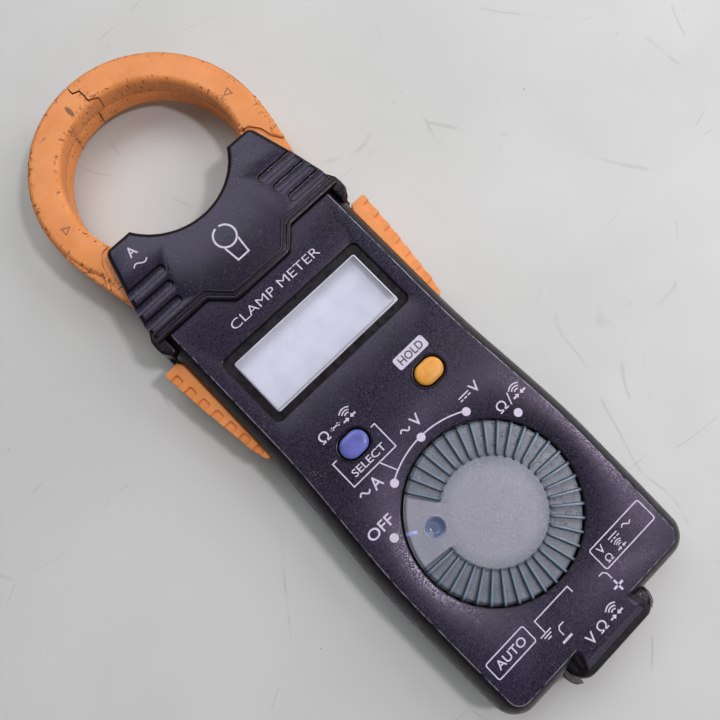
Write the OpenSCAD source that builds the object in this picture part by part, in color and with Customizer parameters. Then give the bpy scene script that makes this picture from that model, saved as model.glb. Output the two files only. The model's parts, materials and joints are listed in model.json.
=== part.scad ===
// Pocket clamp meter: two hinged jaw halves in a ring, a thin case with a round range dial,
// a display, two push buttons and two side levers that open the jaws.
// Origin: centre of the bounding box in X and Y, back face at Z = 0.
// +X right, +Y towards the jaws, +Z out of the front face. Millimetres.

/* [Node] */
// Which piece to draw

/* [Case] */
// Distance from the part's centre to the dial's axis, negative towards the sockets
dial_y = -47.3; // [-50:0.1:-44]
// Thickness of the case at its front face
case_t = 14.6; // [13:0.1:16]
// Half width of the case at its waist
waist_x = 26.2; // [25:0.1:28]
// Half width of the case beside the dial
hip_x = 28.2; // [27:0.1:30]
// Bottom edge of the case below the dial's axis
case_bottom = 34.2; // [32:0.1:36]
// Top edge of the front case above the dial's axis
case_top = 74.1; // [70:0.1:76]
// Radius of the two bottom corners
corner_r = 6; // [3:0.1:9]
// Inset of the front face's edge from the widest outline
edge_in = 3; // [1:0.1:4]
// Height of the line where the case halves meet
part_z = 7.3; // [6:0.1:8.5]
// Wall thickness of the case
wall = 1.6; // [1.2:0.1:2.4]
// Half width of the socket nose
nose_x = 13; // [11:0.1:15]
// End of the socket nose below the dial's axis
nose_y = 40.2; // [38:0.1:42]

/* [Jaws] */
// Centre of the ring above the dial's axis
ring_y = 106.3; // [104:0.1:108]
// Outer radius of the ring
ring_r = 28.5; // [26:0.1:31]
// Inner radius of the ring
hole_r = 20.9; // [18:0.1:23]
// Back of the ring
jaw_z0 = 2.5; // [1.9:0.1:3.5]
// Front of the ring
jaw_z1 = 12.6; // [11:0.1:13]
// Back of the thinner neck that slides into the head
neck_z0 = 3.1; // [2.5:0.1:4]
// Front of the neck
neck_z1 = 12; // [10:0.1:12.4]
// Distance of each jaw's pivot from the middle
pivot_x = 18.5; // [17:0.1:20]
// Height of the pivots above the dial's axis
pivot_y = 78.5; // [76:0.1:81]
// Radius of the jaw's hub round its pin
hub_r = 5.35; // [4:0.1:6.5]
// Radius of the jaw pins
jaw_pin_r = 1.5; // [1:0.05:2]
// Running clearance of hinges, radial
run = 0.05; // [0.02:0.01:0.1]
// Gap between the two jaw tips
seam_gap = 0.3; // [0.2:0.05:0.6]
// Angle from the bottom of the ring where each jaw ends inside the head
end_a = 18; // [12:0.5:24]

/* [Levers] */
// Pivot of each lever from the middle
lever_x = 22.9; // [21:0.1:24]
// Height of the lever pivots above the dial's axis
lever_y = 43; // [41:0.1:46]
// Radius of the lever pins
lever_pin_r = 0.9; // [0.6:0.05:1.2]
// Back of the levers
lever_z0 = 4; // [3:0.1:5]
// Front of the levers
lever_z1 = 10.6; // [9:0.1:11.4]

/* [Dial] */
// Outer radius of the dial's disc
dial_r = 18.4; // [17:0.1:20]
// Radius of the flat middle
dial_flat_r = 11.4; // [10:0.1:13]
// Number of grip ribs, one of every forty places being left free round the mark
rib_count = 35; // [20:1:38]
// Angle of the mark to the left of straight up in the off position
mark_a = 60; // [30:1:90]
// Top of the grip ribs
rib_top = 16; // [15.5:0.05:16.4]
// Radius of the dial's shaft
shaft_r = 4.95; // [4:0.05:6]

/* [Buttons and display] */
// Distance of each button from the middle
button_x = 11.2; // [9:0.1:13]
// Height of the buttons above the dial's axis
button_y = 30.3; // [28:0.1:33]
// Length of a button cap
cap_l = 6.8; // [5:0.1:8]
// Width of a button cap
cap_w = 5; // [4:0.1:6]
// Top of the button caps
cap_top = 15.3; // [14.8:0.1:15.6]
// Half width of the display recess
bezel_x = 19.95; // [18:0.05:21]
// Lower edge of the display recess above the dial's axis
bezel_y0 = 44.1; // [43:0.1:46]
// Upper edge of the display recess
bezel_y1 = 62.6; // [61:0.1:64]
// Half width of the window
lens_x = 17.8; // [16:0.1:19]
// Lower edge of the window
lens_y0 = 46.1; // [45:0.1:48]
// Upper edge of the window
lens_y1 = 60.35; // [59:0.05:62]

/* [Inside] */
// Back face of the circuit board
board_z = 6; // [5.5:0.1:6.5]
// Thickness of the circuit board
board_t = 1; // [0.8:0.1:1.6]
// Radius of the coin cell
cell_r = 10; // [8:0.1:12]
// Height of the cell's centre above the dial's axis
cell_y = 28; // [26:0.1:32]
// Distance of each socket from the middle
socket_x = 7.5; // [6:0.1:9.5]
// Radius of each socket's bore
socket_r = 2; // [1:0.05:2.2]
// Radius of the shroud round each socket
shroud_r = 4; // [3.4:0.1:4.4]

/* [Hidden] */
$fn = 48;
orange = [0.95, 0.6, 0.35];
dark = [0.2, 0.18, 0.25];
steel = [0.75, 0.75, 0.78];
brass = [0.85, 0.7, 0.4];
face_z = case_t;
cover_z = 15.3;
floor_z = wall;
roof_z = case_t - wall;
in_x = waist_x - 2;
socket_z = 7.3;
block_x = 11.7;
block_z0 = 2.2;
block_z1 = 11.9;
recess_z = 13.2;
mark_v = [-sin(mark_a), cos(mark_a)];
screw_spots = [[-22, -24.5], [22, -24.5], [-21.9, 35.4], [21.9, 35.4]];
core_r0 = hole_r + 2.2;
core_r1 = ring_r - 2.2;

// ---------- shared shapes ----------

// One thin level of the lower case outline, drawn in by i
module low_level(z, i) {
    for (s = [-1, 1]) {
        translate([s * (hip_x - 0.4 - corner_r), corner_r - case_bottom, z])
            cylinder(r = corner_r - i * 0.9, h = 0.05, $fn = 40);
        translate([s * (hip_x - 8), 1, z])
            cylinder(r = 8 - i, h = 0.05, $fn = 40);
        translate([s * (waist_x - 1.75), 33.5, z])
            cylinder(r = max(2 - i, 0.1), h = 0.05, $fn = 16);
        translate([s * (waist_x - 0.2 - i), 39, z])
            cylinder(r = 0.1, h = 0.05, $fn = 16);
    }
}

// One thin level of the upper case outline
module top_level(z, i, y1) {
    for (s = [-1, 1]) {
        for (y = [36, y1 - 0.2])
            translate([s * (waist_x - 0.2 - i), y, z])
                cylinder(r = 0.2, h = 0.05, $fn = 16);
    }
}

// Flat outline of the cavity, vertical walls
module cavity_2d(y1) {
    polygon([[-20.2, 2 - case_bottom], [20.2, 2 - case_bottom], [24.2, 5 - case_bottom],
        [25.6, 9.5 - case_bottom], [hip_x - 2.1, 0], [waist_x - 1.5, 24], [in_x, 36],
        [in_x, y1], [-in_x, y1], [-in_x, 36], [1.5 - waist_x, 24], [2.1 - hip_x, 0],
        [-25.6, 9.5 - case_bottom], [-24.2, 5 - case_bottom]]);
}

// Half outline of the head, to be mirrored; reaches y0 at the sides and y1 in the middle
module head_half_2d(y_side, y_mid) {
    polygon([[-0.01, y_mid], [7.6, y_mid], [12.2, y_side], [26.4, y_side], [26, 79],
        [24.4, 86], [21.7, 95.4], [21.2, 96.6], [20.2, 97.4], [-0.01, 97.4]]);
}

module head_2d(y_side, y_mid) {
    difference() {
        union() {
            head_half_2d(y_side, y_mid);
            mirror([1, 0])
                head_half_2d(y_side, y_mid);
        }
        translate([0, ring_y])
            circle(r = 16.8, $fn = 96);
    }
}

// Slots in the side walls for the levers, between two heights
module lever_slots(z0, z1) {
    for (s = [-1, 1])
        translate([s > 0 ? 19.4 : -33, lever_y - 2.9, z0])
            cube([13.6, 30.9, z1 - z0]);
}

// Stadium with its long side on X
module stadium(l, w, z, h) {
    translate([0, 0, z])
        linear_extrude(h)
            union() {
                square([l - w, w], center = true);
                for (s = [-1, 1])
                    translate([s * (l - w) / 2, 0])
                        circle(r = w / 2);
            }
}

// Plate with rounded corners, centred on X
module rounded_plate(hx, y0, y1, r, z, h) {
    translate([0, 0, z])
        linear_extrude(h)
            union() {
                translate([-hx, y0 + r])
                    square([2 * hx, y1 - y0 - 2 * r]);
                translate([r - hx, y0])
                    square([2 * hx - 2 * r, y1 - y0]);
                for (s = [-1, 1])
                    for (y = [y0 + r, y1 - r])
                        translate([s * (hx - r), y])
                            circle(r = r);
            }
}

// ---------- case ----------

module nose_half(z0, h) {
    translate([0, 0, z0])
        linear_extrude(h)
            union() {
                translate([-nose_x, -36.4])
                    square([2 * nose_x, 8.4]);
                translate([4 - nose_x, -nose_y])
                    square([2 * nose_x - 8, 6]);
                for (s = [-1, 1])
                    translate([s * (nose_x - 4), 4 - nose_y])
                        circle(r = 4);
            }
}

// Everything beyond the nose's sloping front end, moved in by d
module nose_end(d) {
    translate([-20, d, 0])
        rotate([90, 0, 90])
            linear_extrude(40)
                polygon([[-nose_y - 2, 3], [0.1 - nose_y, part_z], [2 - nose_y, 11.4],
                    [3.8 - nose_y, 13.1], [3.8 - nose_y, 20], [-nose_y - 2, 20]]);
}

// Room in the nose for the terminal block
module block_room(z0, z1) {
    translate([-block_x - 0.1, -nose_y - 1.1, z0])
        cube([2 * block_x + 0.2, 18.5, z1 - z0]);
}

module rear_case() {
    color(dark)
    translate([0, dial_y, 0])
    difference() {
        union() {
            difference() {
                union() {
                    hull() {
                        low_level(0, 2.2);
                        low_level(1.6, 0.9);
                        low_level(4, 0.2);
                        low_level(part_z - 0.05, 0);
                    }
                    hull() {
                        top_level(0, 2.2, 78);
                        top_level(1.6, 0.9, 78);
                        top_level(4, 0.2, 78);
                        top_level(part_z - 0.05, 0, 78);
                    }
                    linear_extrude(1.8)
                        head_2d(72, 72);
                    for (s = [-1, 1])
                        translate([s > 0 ? 23 : -27.3, 71, 1.8])
                            cube([4.3, 6.5, part_z - 1.8]);
                    nose_half(0.9, part_z - 0.9);
                }
                translate([0, 0, floor_z])
                    linear_extrude(10)
                        cavity_2d(77.4);
                translate([-24.2, 77.3, 1.8])
                    cube([48.4, 20, 10]);
                for (s = [-1, 1])
                    translate([s > 0 ? 24.1 : -30.1, 77.5, 1.8])
                        cube([6, 4, 10]);
                block_room(block_z0 - 0.1, 12.1);
                lever_slots(3.6, 10);
            }
            for (p = screw_spots)
                translate([p[0], p[1], 1])
                    cylinder(r = 2.6, h = part_z - 1.1);
            for (s = [-1, 1]) {
                translate([s * pivot_x, pivot_y, 1])
                    cylinder(r = 3, h = 1.7);
                translate([s * lever_x, lever_y, 1])
                    cylinder(r = 1.8, h = 2.6);
            }
            translate([0, 72.6, 1])
                cylinder(r = 3, h = part_z - 1.1);
            translate([0, ring_y, 1])
                rotate([0, 0, 270 - 13])
                    rotate_extrude(angle = 26)
                        translate([core_r0, 0])
                            square([core_r1 - core_r0, 4]);
            // rails under the board
            for (s = [-1, 1])
                translate([s * 17.5 - 1, 4, 1])
                    cube([2, 8, board_z - 1.05]);
            for (s = [-1, 1])
                translate([s * 16.5 - 1, 51, 1])
                    cube([2, 6, board_z - 1.05]);
        }
        for (p = screw_spots) {
            translate([p[0], p[1], -1])
                cylinder(r = 2.2, h = 2.9);
            translate([p[0], p[1], -1])
                cylinder(r = 1.1, h = 12);
        }
        translate([0, 72.6, -1])
            cylinder(r = 2.2, h = 2.9);
        translate([0, 72.6, -1])
            cylinder(r = 1.1, h = 12);
        for (s = [-1, 1]) {
            translate([s * pivot_x, pivot_y, 0.8])
                cylinder(r = jaw_pin_r + 0.01, h = 4);
            translate([s * lever_x, lever_y, 0.8])
                cylinder(r = lever_pin_r + 0.01, h = 4);
        }
        // battery opening with a ledge, and the cover's screw boss below it
        translate([-12, 16.6, -1])
            cube([24, 24.2, 4]);
        translate([-13.1, 10.9, -1])
            cube([26.2, 31.2, 2.05]);
        translate([0, 13.6, -1])
            cylinder(r = 0.85, h = 4);
        // sound holes
        for (x = [-3, 0, 3])
            translate([x, 0, -1])
                cylinder(r = 0.6, h = 4);
        for (y = [-3, 3])
            translate([0, y, -1])
                cylinder(r = 0.6, h = 4);
    }
}

module front_case() {
    color(dark)
    translate([0, dial_y, 0])
    difference() {
        union() {
            difference() {
                union() {
                    hull() {
                        low_level(part_z, 0);
                        low_level(11.2, 0.4);
                        low_level(13.4, 1.5);
                        low_level(face_z - 0.05, edge_in);
                    }
                    hull() {
                        top_level(part_z, 0, case_top);
                        top_level(11.2, 0.4, case_top);
                        top_level(13.4, 1.5, case_top);
                        top_level(face_z - 0.05, edge_in, case_top);
                    }
                    difference() {
                        nose_half(part_z, 5.9);
                        nose_end(0);
                    }
                }
                translate([0, 0, part_z - 5])
                    linear_extrude(roof_z - part_z + 5)
                        cavity_2d(case_top + 2);
                block_room(0, block_z1 + 0.1);
                lever_slots(0, 11);
                // room for the head cover's tongue and ears
                translate([0, 0, 5])
                    linear_extrude(20)
                        polygon([[-7.7, 69.8], [7.7, 69.8], [12.3, 74.2], [12.3, 80], [-12.3, 80],
                            [-12.3, 74.2]]);
                for (s = [-1, 1])
                    translate([s > 0 ? 22.9 : -32.9, 70.4, 0])
                        cube([10, 10, 13.35]);
            }
            for (p = screw_spots)
                translate([p[0], p[1], part_z])
                    cylinder(r = 2.2, h = roof_z + 0.5 - part_z);
            for (s = [-1, 1])
                translate([s * lever_x, lever_y, 11.2])
                    cylinder(r = 1.8, h = 2);
            // guide ring round the dial's shaft
            translate([0, 0, 11.2])
                cylinder(r = 19.9, h = 2);
            // raised rims round the buttons and guides below them
            for (s = [-1, 1])
                translate([s * button_x, button_y, 0])
                    stadium(8.4, 6.6, 13, 1.8);
        }
        // dial recess, shaft bore, detent track and dimples
        translate([0, 0, recess_z])
            cylinder(r = dial_r + 0.9, h = 5, $fn = 96);
        translate([0, 0, 5])
            cylinder(r = shaft_r + run, h = 10);
        translate([0, 0, 11])
            rotate_extrude($fn = 72)
                translate([9, 0])
                    square([3, 0.7]);
        for (a = [0, 30, 60, 90, 120])
            rotate([0, 0, 180 - a])
                translate([10.5, 0, 11.5])
                    sphere(r = 0.9, $fn = 32);
        // buttons
        for (s = [-1, 1])
            translate([s * button_x, button_y, 0])
                stadium(cap_l + 0.7, cap_w + 0.7, 5, 15);
        // display recess and window
        rounded_plate(bezel_x, bezel_y0, bezel_y1, 1.6, 13.9, 3);
        translate([-lens_x - 0.05, lens_y0 - 0.05, 5])
            cube([2 * lens_x + 0.1, lens_y1 - lens_y0 + 0.1, 12]);
        for (p = screw_spots)
            translate([p[0], p[1], 0])
                cylinder(r = 1, h = 12.6);
        for (s = [-1, 1])
            translate([s * lever_x, lever_y, 5])
                cylinder(r = lever_pin_r + 0.01, h = 7.5);
    }
}

module head_cover() {
    color(dark)
    translate([0, dial_y, 0])
    difference() {
        union() {
            translate([0, 0, 13.1])
                linear_extrude(cover_z - 13.1)
                    head_2d(74.3, 69.9);
            // side skirts with the ears
            for (s = [-1, 1])
                translate([0, 0, part_z])
                    linear_extrude(5.85)
                        polygon([[s * 24.5, 70.6], [s * 26, 70.6], [s * 27.3, 72.8],
                            [s * 27.3, 75.4], [s * 26.4, 77.5], [s * 24.5, 77.5]]);
            // wall behind the concave edge
            translate([0, ring_y, 2.1])
                rotate([0, 0, 270 - 50])
                    rotate_extrude(angle = 100, $fn = 96)
                        translate([16.9, 0])
                            square([1.2, 11.3]);
            // boss for the head screw
            translate([0, 72.6, part_z])
                cylinder(r = 2.6, h = 6);
            for (s = [-1, 1])
                translate([s * pivot_x, pivot_y, 12.3])
                    cylinder(r = 2.2, h = 1);
        }
        // grip grooves that run out at the sides
        for (s = [-1, 1])
            for (k = [0, 1, 2])
                translate([0, 85.3 - 3.8 * k, cover_z - 0.6])
                    linear_extrude(2)
                        union() {
                            translate([s > 0 ? 15 + k : -31, 0])
                                square([16 - k, 2]);
                            translate([s * (15 + k), 1])
                                circle(r = 1);
                        }
        // line along the lower border
        translate([0, 0, cover_z - 0.3])
            linear_extrude(2)
                polygon([[-26, 75.6], [-12, 75.6], [-7.4, 71.2], [7.4, 71.2], [12, 75.6],
                    [26, 75.6], [26, 76.1], [11.8, 76.1], [7.2, 71.7], [-7.2, 71.7],
                    [-11.8, 76.1], [-26, 76.1]]);
        translate([0, 72.6, 5])
            cylinder(r = 1, h = 7.4);
        for (s = [-1, 1])
            translate([s * pivot_x, pivot_y, 5])
                cylinder(r = jaw_pin_r + 0.01, h = 9);
    }
}

module battery_cover() {
    color(dark)
    translate([0, dial_y, 0])
    difference() {
        union() {
            translate([-13, 11, 0])
                cube([26, 31, 1]);
            translate([-11.9, 16.7, 0.9])
                cube([23.8, 24, 0.6]);
            translate([-5, 39.7, 1.4])
                cube([10, 1, 0.9]);
            translate([-5, 39.7, 1.7])
                cube([10, 2.9, 0.6]);
        }
        translate([0, 13.6, -1])
            cylinder(r = 1.05, h = 4);
        translate([0, 13.6, -1])
            cylinder(r = 2, h = 1.55);
        for (k = [0, 1, 2])
            translate([-4, 35.6 + 1.6 * k, -1])
                cube([8, 0.8, 1.3]);
    }
}

// Screw pointing along +Z with a cross recess in its head at the bottom
module screw(head_r, head_h, shank_r, length) {
    difference() {
        union() {
            cylinder(r = head_r, h = head_h);
            cylinder(r = shank_r, h = length);
        }
        translate([-head_r * 0.6, -0.25, -1])
            cube([head_r * 1.2, 0.5, 1.6]);
        translate([-0.25, -head_r * 0.6, -1])
            cube([0.5, head_r * 1.2, 1.6]);
    }
}

module battery_cover_screw() {
    color(steel)
    translate([0, dial_y + 13.6, 0.05])
        screw(1.8, 0.45, 0.8, 1.5);
}

module case_screws() {
    color(steel)
    translate([0, dial_y, 0]) {
        for (p = screw_spots)
            translate([p[0], p[1], 0.6])
                screw(2, 1.2, 0.95, 11.2);
        translate([0, 72.6, 0.6])
            screw(2, 1.2, 0.95, 11.2);
    }
}

// ---------- display and board ----------

module display_window() {
    color([0.8, 0.85, 0.9, 0.4])
    translate([0, dial_y, 0])
        union() {
            translate([-lens_x, lens_y0, 12.4])
                cube([2 * lens_x, lens_y1 - lens_y0, 1.7]);
            translate([-lens_x - 0.9, lens_y0 - 0.8, 12])
                cube([2 * lens_x + 1.8, lens_y1 - lens_y0 + 1.6, 0.8]);
        }
}

module lcd_panel() {
    color([0.78, 0.79, 0.85])
    translate([0, dial_y, 0])
        union() {
            translate([-18.2, 45.3, 9.9])
                cube([36.4, 15.7, 1]);
            translate([-18.2, 46.9, 10.8])
                cube([36.4, 14.1, 1]);
        }
}

module lcd_frame() {
    color([0.9, 0.9, 0.88])
    translate([0, dial_y, 0])
    difference() {
        translate([-19.2, 44.2, board_z + board_t])
            cube([38.4, 18.2, 4.6]);
        translate([-18.3, 45.2, board_z + board_t + 2.8])
            cube([36.6, 15.9, 5]);
        translate([-16.2, 45.2, 5])
            cube([32.4, 2, 12]);
        translate([-16.2, 59.1, 5])
            cube([32.4, 2, 12]);
        translate([-15.5, 48.6, 5])
            cube([31, 9.2, 12]);
    }
}

module contact_strips() {
    color([0.75, 0.6, 0.65])
    translate([0, dial_y, 0])
        for (y = [45.4, 59.3])
            translate([-16, y, board_z + board_t])
                cube([32, 1.6, 2.9]);
}

module circuit_board() {
    color([0.15, 0.4, 0.25])
    translate([0, dial_y, board_z])
    difference() {
        linear_extrude(board_t)
            polygon([[-20, -19.2], [20, -19.2], [22, -16], [22, 24], [18.4, 30], [18.4, 40],
                [19.3, 41.5], [19.3, 62.5], [-19.3, 62.5], [-19.3, 41.5], [-18.4, 40], [-18.4, 30],
                [-22, 24], [-22, -16]]);
        translate([0, 0, -1])
            cylinder(r = 1.6, h = 4);
        for (s = [-1, 1])
            translate([s * 17.5, -14, -1])
                cylinder(r = 1.1, h = 4);
    }
}

// Ring tracks under the dial's wipers
module dial_tracks() {
    color(brass)
    translate([0, dial_y, board_z + board_t])
        for (r = [4.6, 6.6, 8.6, 10.6])
            rotate_extrude(angle = 300)
                translate([r, 0])
                    square([1.2, 0.05]);
}

module board_parts() {
    color([0.2, 0.2, 0.22])
    translate([0, dial_y, board_z + board_t])
        union() {
            for (k = [0 : 4])
                translate([-16 + 3 * k, 38.4, 0])
                    cube([1.8, 1, 0.7]);
            for (k = [0 : 3])
                translate([5 + 3.2 * k, 39, 0])
                    cube([1.8, 1, 0.7]);
            translate([-3.4, 25, 0])
                cube([6.8, 6, 1.4]);
            translate([-3, 34, 0])
                cylinder(r = 1.5, h = 2.2);
            translate([3, 35, 0])
                cube([3, 2, 1.6]);
            translate([15.5, -17.5, 0])
                cube([4.5, 3, 2.4]);
            translate([-20, -17.5, 0])
                cube([5, 3, 2.4]);
        }
}

module main_chip() {
    color([0.12, 0.12, 0.13])
    translate([0, dial_y, 0])
        union() {
            translate([-6, 46, board_z - 1.6])
                cube([12, 10, 1.4]);
            for (s = [0, 1])
                for (k = [0 : 7])
                    translate([-5.2 + 1.4 * k, s > 0 ? 55.9 : 44.9, board_z - 0.4])
                        cube([0.6, 1.2, 0.4]);
            for (s = [0, 1])
                for (k = [0 : 7])
                    translate([-5.2 + 1.4 * k, s > 0 ? 55.9 : 45.9, board_z - 1])
                        cube([0.6, 0.3, 0.8]);
        }
}

module buzzer() {
    color([0.8, 0.75, 0.5])
    translate([0, dial_y, board_z - 3.2])
        difference() {
            cylinder(r = 6.5, h = 3.2);
            translate([0, 0, -1])
                cylinder(r = 1, h = 1.6);
        }
}

module battery_holder() {
    color([0.15, 0.15, 0.16])
    translate([0, dial_y + cell_y, 0])
    difference() {
        translate([0, 0, 2.2])
            cylinder(r = 11.4, h = board_z - 2.2);
        translate([0, 0, 0])
            cylinder(r = cell_r + 0.2, h = 5.3);
        translate([9, -3.2, 0])
            cube([6, 6.4, 20]);
        translate([-2.3, -4, 0])
            cube([4.6, 8, 20]);
    }
}

module coin_cell() {
    color(steel)
    translate([0, dial_y + cell_y, 1.8])
        union() {
            translate([0, 0, 0.3])
                cylinder(r = cell_r, h = 2.4);
            cylinder(r = cell_r - 0.5, h = 0.4);
            translate([0, 0, 2.6])
                cylinder(r = cell_r - 1.2, h = 0.4);
        }
}

module battery_plus_clip() {
    color(brass)
    translate([0, dial_y + cell_y, 0])
        union() {
            translate([cell_r + 0.3, -2.5, 2])
                cube([0.3, 5, board_z - 2]);
            translate([cell_r - 2, -2.5, 1.52])
                cube([2.6, 5, 0.25]);
            translate([cell_r + 0.3, -2.5, 1.52])
                cube([0.3, 5, 0.6]);
        }
}

module battery_minus_spring() {
    color(brass)
    translate([0, dial_y + cell_y, 0])
        union() {
            translate([-2, -3.5, board_z - 0.3])
                cube([4, 7, 0.28]);
            translate([-1.2, -0.8, 4.85])
                cube([2.4, 1.6, 1]);
        }
}

module button_dome(x) {
    color([0.85, 0.85, 0.82])
    translate([x, dial_y + button_y, board_z + board_t])
        union() {
            cylinder(r = 3.6, h = 0.7);
            translate([0, 0, 0.6])
                cylinder(r1 = 3, r2 = 1.8, h = 2.2);
            translate([0, 0, 2.7])
                cylinder(r = 1.8, h = 1.9);
        }
}

module select_dome() {
    button_dome(-button_x);
}

module hold_dome() {
    button_dome(button_x);
}

module button(x, c) {
    color(c)
    translate([x, dial_y + button_y, 0])
        union() {
            stadium(cap_l, cap_w, 12.2, cap_top - 12.5);
            stadium(cap_l - 0.6, cap_w - 0.6, 15, cap_top - 15);
            stadium(9.4, 7.6, 11.7, 0.9);
        }
}

module select_button() {
    button(-button_x, [0.4, 0.42, 0.75]);
}

module hold_button() {
    button(button_x, [0.92, 0.65, 0.2]);
}

// ---------- sockets ----------

module terminal_block() {
    color([0.12, 0.12, 0.13])
    translate([0, dial_y, 0])
    difference() {
        translate([-block_x, 0.25 - nose_y, block_z0])
            cube([2 * block_x, 17, block_z1 - block_z0]);
        nose_end(0.25);
        for (s = [-1, 1]) {
            translate([s * socket_x, -27, socket_z])
                rotate([90, 0, 0])
                    cylinder(r = shroud_r, h = 14);
            translate([s * socket_x, -20, socket_z])
                rotate([90, 0, 0])
                    cylinder(r = 2.41, h = 10);
        }
        // the roof above the leads
        translate([-8.5, -24.4, 8.8])
            cube([17, 5, 4]);
    }
}

module socket(x) {
    color(brass)
    translate([x, dial_y, socket_z])
        difference() {
            rotate([90, 0, 0])
                translate([0, 0, 22.6])
                    cylinder(r = 2.4, h = 15.4);
            rotate([90, 0, 0])
                translate([0, 0, 24])
                    cylinder(r = socket_r, h = 20);
        }
}

module minus_socket() {
    socket(-socket_x);
}

module plus_socket() {
    socket(socket_x);
}

module socket_leads() {
    color(brass)
    translate([0, dial_y, 0])
        for (s = [-1, 1])
            union() {
                translate([s * socket_x - 0.9, -22.5, board_z + board_t])
                    cube([1.8, 5, 0.4]);
                translate([s * socket_x - 0.9, -22.5, board_z + board_t])
                    cube([1.8, 0.4, 1.6]);
            }
}

// ---------- jaws ----------

// Seam between the jaw tips as seen from the front, right side kept
module seam_right_2d(g) {
    polygon([[g - 1.9, 40], [g - 1.9, 25.3 + g], [g - 0.35, 24.75 + g], [g - 0.35, 21.7 + g],
        [g + 1.8, 20.95 + g], [g + 1.8, 18], [0, 0], [sin(end_a) * 42, -cos(end_a) * 42],
        [42, -40], [42, 40]]);
}

module seam_left_2d(g) {
    polygon([[-g - 1.9, 40], [-g - 1.9, 25.3 - g], [-g - 0.35, 24.75 - g], [-g - 0.35, 21.7 - g],
        [-g + 1.8, 20.95 - g], [-g + 1.8, 18], [0, 0], [-sin(end_a) * 42, -cos(end_a) * 42],
        [-42, -40], [-42, 40]]);
}

module seam_rear_2d(s, g) {
    polygon([[s * g, 40], [s * g, 18], [0, 0], [s * sin(end_a) * 42, -cos(end_a) * 42],
        [s * 42, -40], [s * 42, 40]]);
}

// Neck from the ring down to the hub and the tail that the lever pushes, right side
module neck_2d(s) {
    difference() {
        union() {
            polygon([[s * 28.4, 104.5], [s * 27.9, 100], [s * 26.4, 92.5], [s * 25, 86],
                [s * 24, 82], [s * (pivot_x + hub_r), pivot_y], [s * (pivot_x - hub_r), pivot_y],
                [s * 12.6, 82], [s * 20, 98]]);
            translate([s * pivot_x, pivot_y])
                circle(r = hub_r);
            polygon([[s * (pivot_x + hub_r), pivot_y], [s * (in_x - 0.35), 65.2],
                [s * 23.1, 64.6], [s * 21.4, 64.6], [s * 20.8, 66], [s * 15.5, pivot_y - 4]]);
        }
        translate([0, ring_y])
            circle(r = hole_r, $fn = 96);
    }
}

module ring_profile_front() {
    polygon([[hole_r, 7.6], [ring_r, 7.6], [ring_r, jaw_z1 - 0.9], [ring_r - 0.9, jaw_z1],
        [hole_r + 0.7, jaw_z1], [hole_r, jaw_z1 - 0.7]]);
}

module ring_profile_rear() {
    polygon([[hole_r, 7.6], [ring_r, 7.6], [ring_r, jaw_z0 + 0.9], [ring_r - 0.9, jaw_z0],
        [hole_r + 0.7, jaw_z0], [hole_r, jaw_z0 + 0.7]]);
}

// The room inside a jaw, all the way round
module jaw_cavity() {
    translate([0, ring_y, 0])
        rotate_extrude($fn = 96)
            translate([hole_r + 1.2, jaw_z0 + 1.2])
                square([ring_r - hole_r - 2.4, jaw_z1 - jaw_z0 - 2.4]);
}

module jaw_front(s) {
    color(orange)
    translate([0, dial_y, 0])
    difference() {
        union() {
            intersection() {
                translate([0, ring_y, 0])
                    rotate_extrude($fn = 96)
                        ring_profile_front();
                translate([0, ring_y, 7])
                    linear_extrude(8)
                        if (s > 0) {
                            seam_right_2d(seam_gap / 2);
                        } else {
                            seam_left_2d(seam_gap / 2);
                        }
            }
            translate([0, 0, 7.6])
                linear_extrude(neck_z1 - 7.6)
                    neck_2d(s);
        }
        jaw_cavity();
        // front step that leaves the neck thinner than the ring
        translate([0, 0, neck_z1])
            linear_extrude(2)
                polygon([[s * 10, 70], [s * 30, 70], [s * 30, 91.2], [s * 25.6, 91.2],
                    [s * 24.4, 93], [s * 23.6, 96.5], [s * 21.8, 98.8], [s * 19, 99.3],
                    [s * 10, 99.3]]);
        translate([s * pivot_x, pivot_y, 0])
            cylinder(r = jaw_pin_r + run, h = 20);
        translate([s * pivot_x, pivot_y, 9])
            cylinder(r = 3.7, h = 5);
        // room for the tip of the other jaw's step
        if (s < 0) {
            translate([-0.3, 126, 7])
                cube([4, 3, 1]);
        }
    }
}

module jaw_rear(s) {
    color(orange)
    translate([0, dial_y, 0])
    difference() {
        union() {
            intersection() {
                translate([0, ring_y, 0])
                    rotate_extrude($fn = 96)
                        ring_profile_rear();
                translate([0, ring_y, 0])
                    linear_extrude(7.55)
                        seam_rear_2d(s, seam_gap / 2);
            }
            translate([0, 0, neck_z0])
                linear_extrude(7.55 - neck_z0)
                    neck_2d(s);
        }
        jaw_cavity();
        linear_extrude(neck_z0)
            polygon([[s * 10, 70], [s * 30, 70], [s * 30, 91.2], [s * 25.6, 91.2],
                [s * 24.4, 93], [s * 23.6, 96.5], [s * 21.8, 98.8], [s * 19, 99.3],
                [s * 10, 99.3]]);
        translate([s * pivot_x, pivot_y, 0])
            cylinder(r = jaw_pin_r + run, h = 20);
        if (s < 0) {
            translate([-2.3, 130.8, 7.2])
                cube([4, 5, 1]);
        }
        if (s > 0) {
            translate([-0.3, 126, 7.2])
                cube([3, 3, 1]);
        }
    }
}

// Part of the ring round its centre, from angle a over sweep w
module ring_arc(r0, r1, z0, z1, a, w) {
    translate([0, ring_y, z0])
        rotate([0, 0, a])
            rotate_extrude(angle = w, $fn = 96)
                translate([r0, 0])
                    square([r1 - r0, z1 - z0]);
}

module core(s) {
    color([0.55, 0.55, 0.58])
    translate([0, dial_y, 0])
        ring_arc(core_r0, core_r1, 5.1, 10.1, s > 0 ? end_a - 90 : 90.4, 179.6 - end_a);
}

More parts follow.
